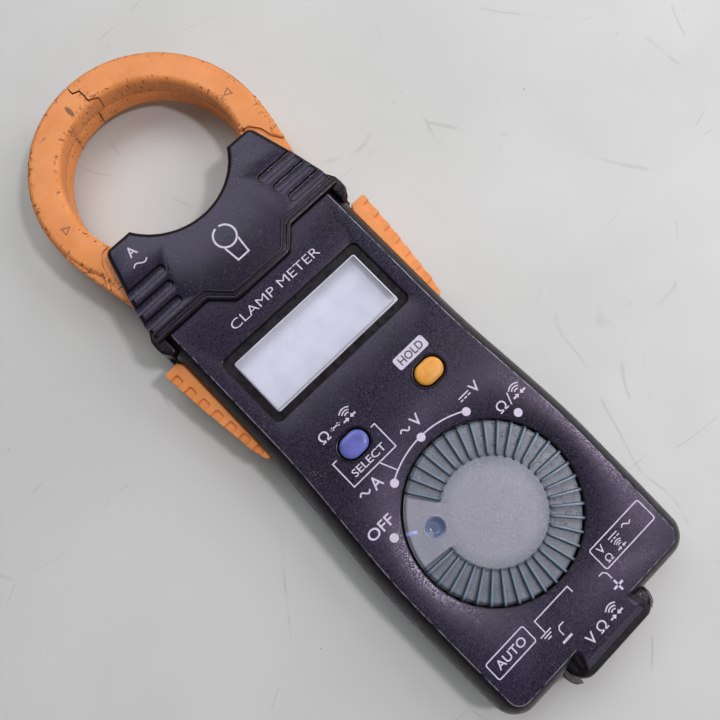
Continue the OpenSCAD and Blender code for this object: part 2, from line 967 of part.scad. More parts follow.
module coil(s) {
    color([0.75, 0.4, 0.2])
    translate([0, dial_y, 0])
    difference() {
        ring_arc(hole_r + 1.5, ring_r - 1.5, 4.4, 10.8, s > 0 ? -10 : 130, 60);
        ring_arc(core_r0 - 0.05, core_r1 + 0.05, 5.05, 10.15, s > 0 ? -14 : 126, 68);
    }
}

// Torsion spring round the jaw's pin, in the pocket of the front shell
module jaw_spring(s) {
    color(steel)
    translate([s * pivot_x, dial_y + pivot_y, 0])
        union() {
            for (k = [0 : 3])
                translate([0, 0, 9.4 + 0.75 * k])
                    rotate_extrude()
                        translate([2.9, 0])
                            circle(r = 0.4, $fn = 16);
            translate([0, -2.9, 12.45])
                rotate([0, s * -90, 0])
                    cylinder(r = 0.35, h = 8.5, $fn = 16);
            translate([0, -2.9, 11.3])
                cylinder(r = 0.35, h = 1.4, $fn = 16);
        }
}

module fixed_core() {
    color([0.55, 0.55, 0.58])
    translate([0, dial_y, 0])
        ring_arc(core_r0, core_r1, 5.1, 10.1, 270 - end_a + 0.8, 2 * end_a - 1.6);
}

module fixed_core_clamp() {
    color([0.15, 0.15, 0.16])
    translate([0, dial_y, 0])
        ring_arc(core_r0 + 0.3, core_r1 - 0.3, 10.15, 13.05, 270 - 11, 22);
}

module left_jaw_front() {
    jaw_front(-1);
}

module right_jaw_front() {
    jaw_front(1);
}

module left_jaw_rear() {
    jaw_rear(-1);
}

module right_jaw_rear() {
    jaw_rear(1);
}

module left_core() {
    core(-1);
}

module right_core() {
    core(1);
}

module left_coil() {
    coil(-1);
}

module right_coil() {
    coil(1);
}

module left_jaw_spring() {
    jaw_spring(-1);
}

module right_jaw_spring() {
    jaw_spring(1);
}

module jaw_pins() {
    color(steel)
    translate([0, dial_y + pivot_y, 0])
        for (s = [-1, 1])
            translate([s * pivot_x, 0, 0.9])
                cylinder(r = jaw_pin_r, h = 12.9);
}

// ---------- levers ----------

module lever(s) {
    color(orange)
    translate([0, dial_y, lever_z0])
    difference() {
        union() {
            linear_extrude(lever_z1 - lever_z0)
                polygon([[s * in_x, 45.2], [s * in_x, 66], [s * 26.4, 69.7], [s * 29.8, 69.7],
                    [s * 30.2, 69.2], [s * 29.2, 58], [s * 27.6, 45], [s * 26.8, 41.4],
                    [s * 26.3, 40.9], [s * 23.6, 40.9], [s * 23.6, 44.6]]);
            translate([s * lever_x, lever_y, 0])
                cylinder(r = 2.1, h = lever_z1 - lever_z0);
        }
        // grip pockets in both edges of the outer side
        for (k = [0 : 6])
            for (z = [-1, lever_z1 - lever_z0 - 2])
                translate([s > 0 ? 28.3 - 0.4 * k : 0.4 * k - 31.3, 66 - 3.85 * k, z])
                    cube([3, 1.7, 3]);
        translate([s * lever_x, lever_y, -1])
            cylinder(r = lever_pin_r + run, h = 20);
    }
}

module left_lever() {
    lever(-1);
}

module right_lever() {
    lever(1);
}

module lever_pins() {
    color(steel)
    translate([0, dial_y + lever_y, 0])
        for (s = [-1, 1])
            translate([s * lever_x, 0, 0.9])
                cylinder(r = lever_pin_r, h = 11.5);
}

// ---------- dial ----------

module dial_knob() {
    color([0.42, 0.48, 0.54])
    translate([0, dial_y, 0])
    difference() {
        union() {
            rotate_extrude($fn = 96)
                polygon([[0, 13.5], [dial_r, 13.5], [dial_r, 14.5], [dial_r - 0.5, 15],
                    [dial_flat_r + 0.6, 15.2], [dial_flat_r, 15.5], [0, 15.5]]);
            translate([0, 0, 9])
                cylinder(r = shaft_r, h = 5);
            // grip ribs
            for (k = [0 : rib_count - 1])
                rotate([0, 0, mark_a - 27 - 9 * k])
                    translate([-0.3, dial_flat_r + 0.1, 14])
                        cube([0.6, 7.6, rib_top - 14]);
        }
        // dimple beside the mark
        translate([mark_v[0] * 12.8, mark_v[1] * 12.8, 15.0])
            cylinder(r = 2.3, h = 2);
        rotate([0, 0, mark_a])
            translate([-0.75, 16.6, 14.6])
                cube([1.5, 3, 3]);
        translate([0, 0, 5])
            cylinder(r = 1.25, h = 8);
    }
}

module dial_mark() {
    color([0.7, 0.75, 0.95])
    translate([0, dial_y, 0])
        rotate([0, 0, mark_a])
            translate([-0.7, 16.65, 14.62])
                cube([1.4, 1.7, 0.9]);
}

module dial_rotor() {
    color([0.85, 0.85, 0.8])
    translate([0, dial_y, 0])
    difference() {
        union() {
            translate([0, 0, 8.2])
                cylinder(r = 12.6, h = 0.75);
            rotate([0, 0, 180])
                translate([10.5, 0, 8.2])
                    cylinder(r = 1.9, h = 2.7);
        }
        translate([0, 0, 5])
            cylinder(r = 1.25, h = 8);
        rotate([0, 0, 180])
            translate([10.5, 0, 8.8])
                cylinder(r = 1.25, h = 5);
    }
}

module dial_wipers() {
    color(brass)
    translate([0, dial_y, 0])
        for (a = [20, 140, 260])
            rotate([0, 0, a])
                union() {
                    translate([4.6, -0.9, 7.95])
                        cube([7.2, 1.8, 0.24]);
                    for (r = [5.2, 7.2, 9.2, 11.2])
                        translate([r - 0.3, -0.5, 7.36])
                            cube([0.6, 1, 0.7]);
                }
}

module dial_screw() {
    color(steel)
    translate([0, dial_y, 7.35])
        screw(2.2, 0.84, 1.2, 4.6);
}

module detent_ball() {
    color(steel)
    translate([-10.5, dial_y, 10.55])
        sphere(r = 1, $fn = 32);
}

module detent_spring() {
    color(steel)
    translate([-10.5, dial_y, 8.82])
        difference() {
            cylinder(r = 1.1, h = 0.74);
            translate([0, 0, -1])
                cylinder(r = 0.7, h = 4);
        }
}

rear_case();
front_case();
head_cover();
display_window();
lcd_panel();
lcd_frame();
contact_strips();
circuit_board();
dial_tracks();
board_parts();
main_chip();
buzzer();
battery_holder();
coin_cell();
battery_plus_clip();
battery_minus_spring();
battery_cover();
battery_cover_screw();
case_screws();
jaw_pins();
lever_pins();
terminal_block();
minus_socket();
plus_socket();
socket_leads();
fixed_core();
fixed_core_clamp();
select_dome();
hold_dome();
left_jaw_front();
left_jaw_rear();
left_core();
left_coil();
left_jaw_spring();
right_jaw_front();
right_jaw_rear();
right_core();
right_coil();
right_jaw_spring();
left_lever();
right_lever();
dial_knob();
dial_mark();
dial_rotor();
dial_wipers();
dial_screw();
detent_ball();
detent_spring();
select_button();
hold_button();
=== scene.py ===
"""Pocket clamp meter: the looks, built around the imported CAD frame. Metres, same frame as the CAD."""
import json
import math

import bmesh
import bpy
from mathutils import Matrix, Vector


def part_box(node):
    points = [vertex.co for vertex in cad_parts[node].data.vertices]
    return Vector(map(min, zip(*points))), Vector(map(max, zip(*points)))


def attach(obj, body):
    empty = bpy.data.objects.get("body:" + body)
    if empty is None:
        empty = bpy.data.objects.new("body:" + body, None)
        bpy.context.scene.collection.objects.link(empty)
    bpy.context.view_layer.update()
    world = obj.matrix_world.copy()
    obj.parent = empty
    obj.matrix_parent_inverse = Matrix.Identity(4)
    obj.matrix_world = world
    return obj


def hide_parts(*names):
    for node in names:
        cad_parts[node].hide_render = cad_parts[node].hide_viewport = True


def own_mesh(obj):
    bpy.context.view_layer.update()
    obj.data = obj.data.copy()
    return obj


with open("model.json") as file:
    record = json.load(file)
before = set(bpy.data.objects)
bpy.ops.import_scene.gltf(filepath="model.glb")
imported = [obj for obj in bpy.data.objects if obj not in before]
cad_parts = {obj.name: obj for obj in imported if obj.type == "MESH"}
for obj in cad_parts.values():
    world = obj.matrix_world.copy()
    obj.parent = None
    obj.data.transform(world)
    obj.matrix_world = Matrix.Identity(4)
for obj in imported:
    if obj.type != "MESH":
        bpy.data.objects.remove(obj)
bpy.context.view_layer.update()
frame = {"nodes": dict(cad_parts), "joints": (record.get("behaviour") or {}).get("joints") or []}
nodes = frame["nodes"]
MM = 0.001

# ---------- places taken from the frame, in millimetres ----------
# Drawing is done in millimetres with the dial's axis at x = 0, y = 0, as in the CAD source.


def box_mm(node):
    """Lowest and highest corner of a CAD node, in millimetres."""
    low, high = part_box(node)
    return Vector(low) / MM, Vector(high) / MM


hinges = {j["name"]: Vector(j["pos_m"]) / MM for j in frame["joints"] if j.get("pos_m")}
DY = hinges["dial_turn"].y
PIVOT_X = hinges["right_jaw_hinge"].x
PIVOT_Y = hinges["right_jaw_hinge"].y - DY
LEVER_X = hinges["right_lever_hinge"].x
LEVER_Y = hinges["right_lever_hinge"].y - DY
PART_Z = box_mm("front_case")[0].z
FACE = 14.6
COVER_TOP = box_mm("head_cover")[1].z
HIP_X = box_mm("rear_case")[1].x
NOSE_END = -(box_mm("rear_case")[0].y - DY)
RING_R = 28.5
HOLE_R = 20.9
RING_Y = box_mm("right_jaw_rear")[1].y - DY - RING_R
JAW_BACK = box_mm("right_jaw_rear")[0].z
JAW_FRONT = box_mm("right_jaw_front")[1].z
JAW_SPLIT = 7.58
NECK_BACK = 3.1
NECK_FRONT = 12.0
RIB_TOP = box_mm("dial_knob")[1].z
DIAL_R = 18.9
RECESS_R = 19.3
FLAT_R = 11.4
MARK_A = 60
BUTTON_X = (box_mm("hold_button")[0].x + box_mm("hold_button")[1].x) / 2
BUTTON_Y = (box_mm("hold_button")[0].y + box_mm("hold_button")[1].y) / 2 - DY
CAP_TOP = box_mm("hold_button")[1].z
LEVER_BACK = box_mm("right_lever")[0].z
LEVER_FRONT = box_mm("right_lever")[1].z

# ---------- camera ----------

camera_data = bpy.data.cameras.new("camera")
camera = bpy.data.objects.new("camera", camera_data)
bpy.context.collection.objects.link(camera)
bpy.context.scene.camera = camera
to_right = Vector((0.71598704, -0.69715239, 0.03662112))
to_below = Vector((-0.68456633, -0.71141037, -0.15894725))
ahead = Vector((0.1368631, 0.08873459, -0.98660766))
turn = Matrix((to_right, -to_below, -ahead)).transposed().to_4x4()
camera.matrix_world = Matrix.Translation(Vector((-18.902, 28.577 + DY, 152.239 + FACE)) * MM) @ turn
camera_data.sensor_width = 36
camera_data.lens = 36.05
camera_data.clip_start = 0.005
camera_data.clip_end = 20

# ---------- outlines, as lists of (x, y, weight) going round anticlockwise ----------


def arc(cx, cy, r, a0, a1, n):
    """Points on an arc from angle a0 to a1, in degrees."""
    turns = [math.radians(a0 + (a1 - a0) * i / n) for i in range(n + 1)]
    return [(cx + r * math.cos(a), cy + r * math.sin(a), 1) for a in turns]


def circle(cx, cy, r, n):
    return arc(cx, cy, r, 0, 360, n)[:-1]


def rounded_box(x0, y0, x1, y1, r, n=5):
    """Rectangle with rounded corners."""
    return (arc(x1 - r, y0 + r, r, -90, 0, n) + arc(x1 - r, y1 - r, r, 0, 90, n)
            + arc(x0 + r, y1 - r, r, 90, 180, n) + arc(x0 + r, y0 + r, r, 180, 270, n))


def smooth(v, a, b):
    """0 below a, 1 above b, with an even turn between."""
    t = min(max((v - a) / (b - a), 0), 1)
    return t * t * (3 - 2 * t)


def stadium(cx, cy, length, width, n=14):
    h = (length - width) / 2
    return arc(cx + h, cy, width / 2, -90, 90, n) + arc(cx - h, cy, width / 2, 90, 270, n)


def anticlockwise(points):
    twice_area = sum(p[0] * q[1] - q[0] * p[1] for p, q in zip(points, points[1:] + points[:1]))
    return points if twice_area > 0 else points[::-1]


SIDE = {-1: "left", 1: "right"}


def weighted(points):
    """Outline points with the weight that offset() needs."""
    return [(p[0], p[1], 1) for p in points]


def mirrored(points):
    """Mirror image in the part's middle plane, still anticlockwise."""
    return [(-p[0], *p[1:]) for p in reversed(points)]


def on_side(points, s):
    """A right-hand outline, or its mirror image for the left side."""
    return points if s > 0 else mirrored(points)


def offset(points, inset):
    """Moves each point to the left of the outline's direction by inset times its weight."""
    out = []
    n = len(points)
    for i, p in enumerate(points):
        if len(p) == 5:
            out.append((p[0] + p[3] * inset * p[2], p[1] + p[4] * inset * p[2], *p[2:]))
            continue
        a, b = points[i - 1], points[(i + 1) % n]
        e1 = Vector((p[0] - a[0], p[1] - a[1]))
        e2 = Vector((b[0] - p[0], b[1] - p[1]))
        if e1.length < 1e-9 or e2.length < 1e-9:
            out.append(p)
            continue
        n1 = Vector((-e1.y, e1.x)).normalized()
        n2 = Vector((-e2.y, e2.x)).normalized()
        m = n1 + n2
        if m.length < 1e-6:
            m = n1
        m = m / max(m.length_squared / 2, 0.35)
        out.append((p[0] + m.x * inset * p[2], p[1] + m.y * inset * p[2], *p[2:]))
    return out


def smooth_curve(points, steps):
    """Catmull-Rom curve through a few points."""
    out = []
    pts = [points[0], *points, points[-1]]
    for i in range(1, len(pts) - 2):
        p0, p1, p2, p3 = (Vector(p) for p in pts[i - 1:i + 3])
        for k in range(steps):
            t = k / steps
            v = 0.5 * ((2 * p1) + (p2 - p0) * t + (2 * p0 - 5 * p1 + 4 * p2 - p3) * t * t
                       + (3 * p1 - p0 - 3 * p2 + p3) * t ** 3)
            out.append((v.x, v.y))
    out.append(tuple(points[-1]))
    return out


def rounding(r, z, n=4, up=True):
    """(inset, height) steps of a rounded edge that ends level with z."""
    s = 1 if up else -1
    return [(r * (1 - math.cos(t)), z - s * r * (1 - math.sin(t)))
            for t in (math.pi / 2 * i / n for i in range(n + 1))]


# ---------- mesh building ----------


class Builder:
    """Collects rings of vertices, in millimetres from the dial's axis, into one mesh."""

    def __init__(self):
        self.bm = bmesh.new()

    def ring(self, points, z=None):
        return [self.bm.verts.new((p[0], p[1], p[2] if z is None else z)) for p in points]

    def skirt(self, a, b, mat=0):
        n = len(a)
        for i in range(n):
            f = self.bm.faces.new((a[i], a[(i + 1) % n], b[(i + 1) % n], b[i]))
            f.material_index = mat

    def wall(self, points, steps, mats=None):
        """Rings of one outline at each (inset, z), joined; returns the first and the last."""
        rings = [self.ring(offset(points, i) if i else points, z) for i, z in steps]
        for k, (a, b) in enumerate(zip(rings, rings[1:])):
            self.skirt(a, b, mats[k] if mats else 0)
        return rings[0], rings[-1]

    def fill(self, *rings, mat=0):
        edges = []
        for ring in rings:
            for i in range(len(ring)):
                pair = (ring[i], ring[(i + 1) % len(ring)])
                edge = self.bm.edges.get(pair) or self.bm.edges.new(pair)
                edges.append(edge)
        made = bmesh.ops.triangle_fill(self.bm, use_beauty=True, use_dissolve=False, edges=edges)
        for f in made["geom"]:
            if isinstance(f, bmesh.types.BMFace):
                f.material_index = mat

    def solid(self, points, steps, mats=None):
        """Closed solid: one outline at each (inset, height), filled at both ends."""
        for end in self.wall(points, steps, mats):
            self.fill(end)

    def plate(self, points, z0, z1, top=0.3, bottom=0.3, steps=4, holes=()):
        """Solid plate with rounded edges; a hole is (x, y, [(radius, height), ...]) going up."""
        profile = []
        if bottom:
            profile += [(i, z) for i, z in reversed(rounding(bottom, z0, steps, up=False))]
        else:
            profile.append((0, z0))
        if top:
            profile += rounding(top, z1, steps)
        else:
            profile.append((0, z1))
        first, last = self.wall(points, profile)
        lows, highs = [first], [last]
        for x, y, bore in holes:
            rings = [self.ring(circle(x, y, r, 40)[::-1], z) for r, z in bore]
            for a, b in zip(rings, rings[1:]):
                self.skirt(a, b)
            lows.append(rings[0])
            highs.append(rings[-1])
        self.fill(*lows)
        self.fill(*highs)

    def bar(self, stations, mat=0):
        """Closed bar through cross-sections, each a list of (x, y, z)."""
        rings = [[self.bm.verts.new(p) for p in s] for s in stations]
        for a, b in zip(rings, rings[1:]):
            self.skirt(a, b, mat)
        for end in (rings[0], rings[-1]):
            self.bm.faces.new(end).material_index = mat

    def lathe(self, profile, n, cx=0.0, cy=0.0):
        """Closed solid turned round a vertical axis; the profile starts and ends on it."""
        rings = []
        for r, z in profile:
            if r < 1e-6:
                rings.append([self.bm.verts.new((cx, cy, z))])
            else:
                rings.append(self.ring(circle(cx, cy, r, n), z))
        for a, b in zip(rings, rings[1:]):
            if len(a) == 1 or len(b) == 1:
                one, many = (a[0], b) if len(a) == 1 else (b[0], a)
                for i in range(n):
                    self.bm.faces.new((many[i], many[(i + 1) % n], one))
            else:
                self.skirt(a, b)

    def sweep(self, line, r, z, height=None, n=10):
        """Round bead of radius r along a flat line of (x, y), its middle at height z."""
        stations = []
        count = len(line)
        for i, p in enumerate(line):
            a, b = line[max(i - 1, 0)], line[min(i + 1, count - 1)]
            d = Vector((b[0] - a[0], b[1] - a[1])).normalized()
            side = Vector((-d.y, d.x))
            stations.append([(p[0] + side.x * r * math.cos(t), p[1] + side.y * r * math.cos(t),
                              z + (height or r) * math.sin(t))
                             for t in (2 * math.pi * k / n for k in range(n))])
        self.bar(stations)

    def finish(self, name, materials, angle=32):
        bmesh.ops.remove_doubles(self.bm, verts=self.bm.verts, dist=1e-5)
        bmesh.ops.recalc_face_normals(self.bm, faces=self.bm.faces)
        obj = from_bmesh(self.bm, name, materials)
        obj.data.transform(Matrix.Diagonal((MM, MM, MM, 1)) @ Matrix.Translation((0, DY, 0)))
        shade(obj, angle)
        return obj


def add_object(name, data):
    obj = bpy.data.objects.new(name, data)
    bpy.context.collection.objects.link(obj)
    return obj


def from_bmesh(bm, name, materials):
    """An object with the bmesh's shape; the bmesh is freed."""
    mesh = bpy.data.meshes.new(name)
    bm.to_mesh(mesh)
    bm.free()
    for m in materials:
        mesh.materials.append(m)
    return add_object(name, mesh)


def shade(obj, angle):
    for p in obj.data.polygons:
        p.use_smooth = True
    obj.data.set_sharp_from_angle(angle=math.radians(angle))


def cut(obj, *draws, keep=False):
    """Takes closed shapes out of an object's mesh, or keeps only what lies in them."""
    for draw in draws:
        b = Builder()
        draw(b)
        tool = b.finish("cutter", obj.data.materials[:])
        mod = obj.modifiers.new("cut", "BOOLEAN")
        mod.operation = "INTERSECT" if keep else "DIFFERENCE"
        mod.solver = "MANIFOLD"
        mod.object = tool
        apply_modifiers(obj)
        bpy.data.objects.remove(tool)


def box(x0, y0, x1, y1, z0, z1):
    """Draws a straight box to cut with."""
    return lambda t: t.plate([(x0, y0, 1), (x1, y0, 1), (x1, y1, 1), (x0, y1, 1)], z0, z1, 0, 0)


def drill(r, z0, z1, n, x=0.0, y=0.0):
    """Draws a cylinder to cut with."""
    return lambda t: t.lathe([(0, z0), (r, z0), (r, z1), (0, z1)], n, x, y)


def apply_modifiers(obj):
    graph = bpy.context.evaluated_depsgraph_get()
    made = bpy.data.meshes.new_from_object(obj.evaluated_get(graph))
    obj.modifiers.clear()
    obj.data = made


def repaint(obj, look, chosen):
    """Gives another material to the faces whose centre (mm from the dial's axis) and normal match."""
    obj.data.materials.append(look)
    index = len(obj.data.materials) - 1
    for p in obj.data.polygons:
        c = p.center / MM
        if chosen(Vector((c.x, c.y - DY, c.z)), p.normal):
            p.material_index = index


def joined(name, objects):
    """One object from several."""
    bm = bmesh.new()
    slots = []
    for o in objects:
        start = len(bm.faces)
        bm.from_mesh(o.data)
        bm.faces.ensure_lookup_table()
        for f in bm.faces[start:]:
            m = o.data.materials[f.material_index]
            if m not in slots:
                slots.append(m)
            f.material_index = slots.index(m)
        bpy.data.objects.remove(o)
    return from_bmesh(bm, name, slots)


def place(obj, body, slot_name, *replaced):
    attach(obj, body)
    if replaced:
        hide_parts(*replaced)
    return obj


# ---------- materials ----------


class Look:
    """A node material with short helpers; distances inside it are millimetres."""

    def __init__(self, name, base, rough=0.5, **sockets):
        self.mat = bpy.data.materials.new(name)
        self.mat.use_nodes = True
        self.nodes = self.mat.node_tree.nodes
        self.links = self.mat.node_tree.links
        self.shader = self.nodes["Principled BSDF"]
        self.shader.inputs["Base Color"].default_value = (*base, 1)
        self.shader.inputs["Roughness"].default_value = rough
        for key, value in sockets.items():
            self.shader.inputs[key.replace("_", " ")].default_value = value
        coords = self.nodes.new("ShaderNodeTexCoord")
        scale = self.nodes.new("ShaderNodeMapping")
        scale.inputs["Scale"].default_value = (1 / MM,) * 3
        scale.inputs["Location"].default_value = (0, -DY, 0)
        self.links.new(coords.outputs["Object"], scale.inputs["Vector"])
        self.where = scale.outputs["Vector"]
        self.normal = None

    def noise(self, size, detail=2.0, rough=0.5, stretch=None, where=None):
        """Noise whose blobs are about size millimetres across."""
        n = self.nodes.new("ShaderNodeTexNoise")
        n.inputs["Scale"].default_value = 1 / size
        n.inputs["Detail"].default_value = detail
        n.inputs["Roughness"].default_value = rough
        where = where or self.where
        if stretch:
            m = self.nodes.new("ShaderNodeMapping")
            m.inputs["Scale"].default_value = stretch
            self.links.new(where, m.inputs["Vector"])
            where = m.outputs["Vector"]
        self.links.new(where, n.inputs["Vector"])
        return n.outputs["Fac"]

    def math(self, op, a, b=0.0):
        n = self.nodes.new("ShaderNodeMath")
        n.operation = op
        for socket, value in zip(n.inputs, (a, b)):
            if isinstance(value, (int, float)):
                socket.default_value = value
            else:
                self.links.new(value, socket)
        return n.outputs[0]

    def axis(self, letter):
        n = self.nodes.new("ShaderNodeSeparateXYZ")
        self.links.new(self.where, n.inputs[0])
        return n.outputs[letter]

    def distance(self, x, y, sx=1.0, sy=1.0):
        """Distance from a vertical line at x, y, with the axes scaled."""
        dx = self.times(self.math("SUBTRACT", self.axis("X"), x), 1 / sx)
        dy = self.times(self.math("SUBTRACT", self.axis("Y"), y), 1 / sy)
        return self.math("SQRT", self.math("ADD", self.times(dx, dx),
                                           self.times(dy, dy)))

    def between(self, value, low, high, to_low=0.0, to_high=1.0):
        n = self.nodes.new("ShaderNodeMapRange")
        n.interpolation_type = "SMOOTHSTEP"
        for key, v in zip(("From Min", "From Max", "To Min", "To Max"), (low, high, to_low, to_high)):
            n.inputs[key].default_value = v
        self.links.new(value, n.inputs["Value"])
        return n.outputs["Result"]

    def mix(self, factor, a, b):
        n = self.nodes.new("ShaderNodeMix")
        n.data_type = "RGBA"
        n.clamp_factor = True
        colour_in = [s for s in n.inputs if s.type == "RGBA"]
        factor_in = next(s for s in n.inputs if s.type == "VALUE")
        if isinstance(factor, (int, float)):
            factor_in.default_value = factor
        else:
            self.links.new(factor, factor_in)
        for socket, value in zip(colour_in, (a, b)):
            if isinstance(value, tuple):
                socket.default_value = (*value, 1)
            else:
                self.links.new(value, socket)
        return next(s for s in n.outputs if s.type == "RGBA")

    def colour(self, source):
        self.links.new(source, self.shader.inputs["Base Color"])

    def roughness(self, source):
        self.links.new(source, self.shader.inputs["Roughness"])

    def times(self, a, b):
        return self.math("MULTIPLY", a, b)

    def blots(self, noise, low=0.3, high=0.7, *levels):
        """Blotches of the noise named by its settings, between two thresholds."""
        return self.between(self.noise(*noise), low, high, *levels)

    def mottle(self, noise, dark, light):
        return self.mix(self.blots(noise), dark, light)

    def over(self, tone, where, amount, paint):
        """Paints over a tone, by a share of the mask given."""
        return self.mix(self.times(where, amount), tone, paint)

    def gloss(self, noise, low, high):
        """Roughness that wanders between two values."""
        self.roughness(self.blots(noise, 0.3, 0.7, low, high))

    def bump(self, height, depth):
        """Adds relief; depth is in millimetres."""
        n = self.nodes.new("ShaderNodeBump")
        n.inputs["Distance"].default_value = depth * MM
        self.links.new(height, n.inputs["Height"])
        if self.normal:
            self.links.new(self.normal, n.inputs["Normal"])
        self.normal = n.outputs["Normal"]
        self.links.new(self.normal, self.shader.inputs["Normal"])


def case_plastic(name="case_plastic", base=(0.0095, 0.0078, 0.021), rough=0.33, grain=0.012):
    """Dark violet moulded plastic with a spark-eroded grain that glints."""
    m = Look(name, base, rough, Specular_IOR_Level=0.5, Specular_Tint=(0.84, 0.78, 1.0, 1.0))
    fine = m.noise(0.3, 3, 0.65)
    tone = m.mottle((14, 3), tuple(c * 0.8 for c in base),
                 tuple(c * 1.3 for c in base))
    # pale specks over the face: painted glints of the grain
    speck = m.blots((0.36, 2, 0.6), 0.6, 0.72)
    tone = m.over(tone, speck, 0.6, (0.13, 0.105, 0.16))
    pit = m.blots((0.5, 2, 0.6), 0.38, 0.3)
    tone = m.over(tone, pit, 0.6, (0.004, 0.003, 0.006))
    scuff = m.blots((1.3, 5, 0.8, (1, 0.15, 1)), 0.68, 0.76)
    tone = m.over(tone, scuff, 0.25, (0.16, 0.15, 0.18))
    for x, y, sx, sy in ((-22.5, 45.5, 1.3, 1.8), (-21.5, 31, 1.6, 2.2), (23.5, -24, 1.2, 2.5),
                         (6, 77.5, 1.2, 0.8)):
        rub = m.times(m.between(m.distance(x, y, sx, sy), 1.0, 0.3),
                     m.blots((0.6, 4, 0.7), 0.52, 0.6))
        tone = m.over(tone, rub, 0.3, (0.24, 0.2, 0.24))
    m.colour(tone)
    m.roughness(m.between(fine, 0.35, 0.65, rough - 0.12, rough + 0.14))
    m.bump(fine, grain)
    return m.mat


def shaded_edge_plastic():
    """The same plastic where it is moulded smooth: edges, sides and grooves, its colour darker than the
    face's as painted shade.
    """
    m = Look("case_edge_shaded", (0.006, 0.005, 0.009), 0.3, Specular_IOR_Level=0.3)
    m.colour(m.mottle((5, 3), (0.004, 0.0035, 0.006), (0.01, 0.008, 0.014)))
    m.gloss((1.5, 4), 0.24, 0.4)
    m.bump(m.noise(0.5, 2), 0.006)
    return m.mat


def arris_highlight():
    """Thin arris round the face, painted pale in patches as a highlight along the edge."""
    m = Look("arris_highlight", (0.1, 0.09, 0.12), 0.3)
    # pale patches on the arris: painted highlight
    m.colour(m.mix(m.blots((2.2, 4, 0.7), 0.35, 0.6), (0.012, 0.01, 0.016), (0.27, 0.25, 0.31)))
    m.gloss((1.5, 4), 0.22, 0.4)
    m.bump(m.noise(0.5, 2), 0.006)
    return m.mat


def orange_plastic(name, ring=False):
    """Satin orange plastic with dirt in its edges and small nicks; on the ring, painted shade darkens the
    lower parts.
    """
    m = Look(name, (0.74, 0.26, 0.07), 0.45, Specular_IOR_Level=0.35)
    m.shader.inputs["Subsurface Weight"].default_value = 0.06
    m.shader.inputs["Subsurface Radius"].default_value = (0.0016, 0.0006, 0.0003)
    m.shader.inputs["Subsurface Scale"].default_value = 1.0
    tone = m.mottle((11, 3), (0.78, 0.275, 0.072), (0.88, 0.335, 0.105))
    tone = m.mix(m.times(m.blots((2.0, 5, 0.7), 0.55, 0.8), 0.35),
                 tone, (0.54, 0.15, 0.036))
    height = m.axis("Z")
    if ring:
        radius = m.distance(0, RING_Y)
        # lower parts of the ring darkened by height: painted shade
        low = m.between(height, JAW_FRONT - 1.2, JAW_BACK + 3, 0.0, 1.0)
        tone = m.over(tone, low, 0.2, (0.72, 0.26, 0.06))
        rims = m.math("MAXIMUM", m.between(radius, RING_R - 1.7, RING_R - 1.0),
                      m.times(m.between(radius, HOLE_R + 1.3, HOLE_R + 0.9),
                             m.between(radius, HOLE_R + 0.2, HOLE_R + 0.5)))
        nick = m.blots((0.75, 5, 0.72), 0.53, 0.6)
        patches = m.blots((5.5, 3), 0.42, 0.54)
        rims = m.times(rims, m.between(height, JAW_FRONT - 2.4, JAW_FRONT - 1.2, 0.15, 1.0))
        grime = m.times(m.times(rims, nick), patches)
        tone = m.mix(grime, tone, (0.05, 0.022, 0.014))
        inside = m.times(m.between(radius, HOLE_R + 0.25, HOLE_R + 0.08),
                        m.blots((0.7, 5, 0.72), 0.63, 0.68))
        inside = m.times(inside, m.blots((6, 2), 0.42, 0.58))
        tone = m.over(tone, inside, 0.8, (0.06, 0.025, 0.014))
        turn_by = m.math("ARCTAN2", m.math("SUBTRACT", m.axis("Y"), RING_Y), m.axis("X"))
        polar = m.nodes.new("ShaderNodeCombineXYZ")
        m.links.new(m.times(turn_by, RING_R), polar.inputs[0])
        m.links.new(m.times(radius, 0.3), polar.inputs[1])
        m.links.new(m.times(height, 0.4), polar.inputs[2])
        streak = m.between(m.noise(0.7, 4, 0.7, where=polar.outputs[0]), 0.57, 0.62)
        streak = m.times(streak, m.blots((4.5, 2), 0.46, 0.56))
        near = m.math("MAXIMUM", m.between(radius, RING_R - 2.6, RING_R - 1.0),
                      m.between(radius, HOLE_R + 1.6, HOLE_R + 0.8))
        tone = m.mix(m.times(m.times(streak, near), 0.9), tone,
                     (0.05, 0.022, 0.014))
        dots = m.blots((0.55, 3, 0.6), 0.68, 0.72)
        tone = m.over(tone, dots, 0.7, (0.2, 0.065, 0.025))
        by_seam = m.times(m.between(m.distance(0, RING_Y + 23.2, 1.2, 2.2), 1.5, 0.5),
                         m.blots((0.8, 5, 0.7), 0.5, 0.6))
        tone = m.over(tone, by_seam, 0.8, (0.06, 0.024, 0.014))
        smudge = m.times(m.between(m.distance(-5.2, 128.7, 0.7, 1.9), 1.0, 0.6),
                        m.blots((0.9, 4), 0.3, 0.42))
        tone = m.over(tone, smudge, 0.8, (0.07, 0.03, 0.02))
        for x, y, sx, sy in ((-21, 123.4, 1.4, 0.5), (-14, 127.6, 1.5, 0.45), (22, 107.6, 0.9, 1.5),
                             (14.5, 119.5, 0.9, 0.9), (-7.5, 125.6, 1.6, 0.35)):
            spot = m.times(m.between(m.distance(x, y, sx, sy), 1.0, 0.4),
                          m.blots((0.6, 4, 0.7), 0.47, 0.56))
            tone = m.over(tone, spot, 0.75, (0.09, 0.035, 0.02))
    else:
        nick = m.times(m.blots((0.8, 5, 0.7), 0.62, 0.7),
                      m.blots((4, 2), 0.5, 0.62))
        tone = m.over(tone, nick, 0.6, (0.2, 0.07, 0.03))
    m.colour(tone)
    m.gloss((1.6, 4), 0.36, 0.52)
    m.bump(m.noise(0.5, 3), 0.012)
    m.bump(m.noise(3.5, 3), 0.03)
    return m.mat


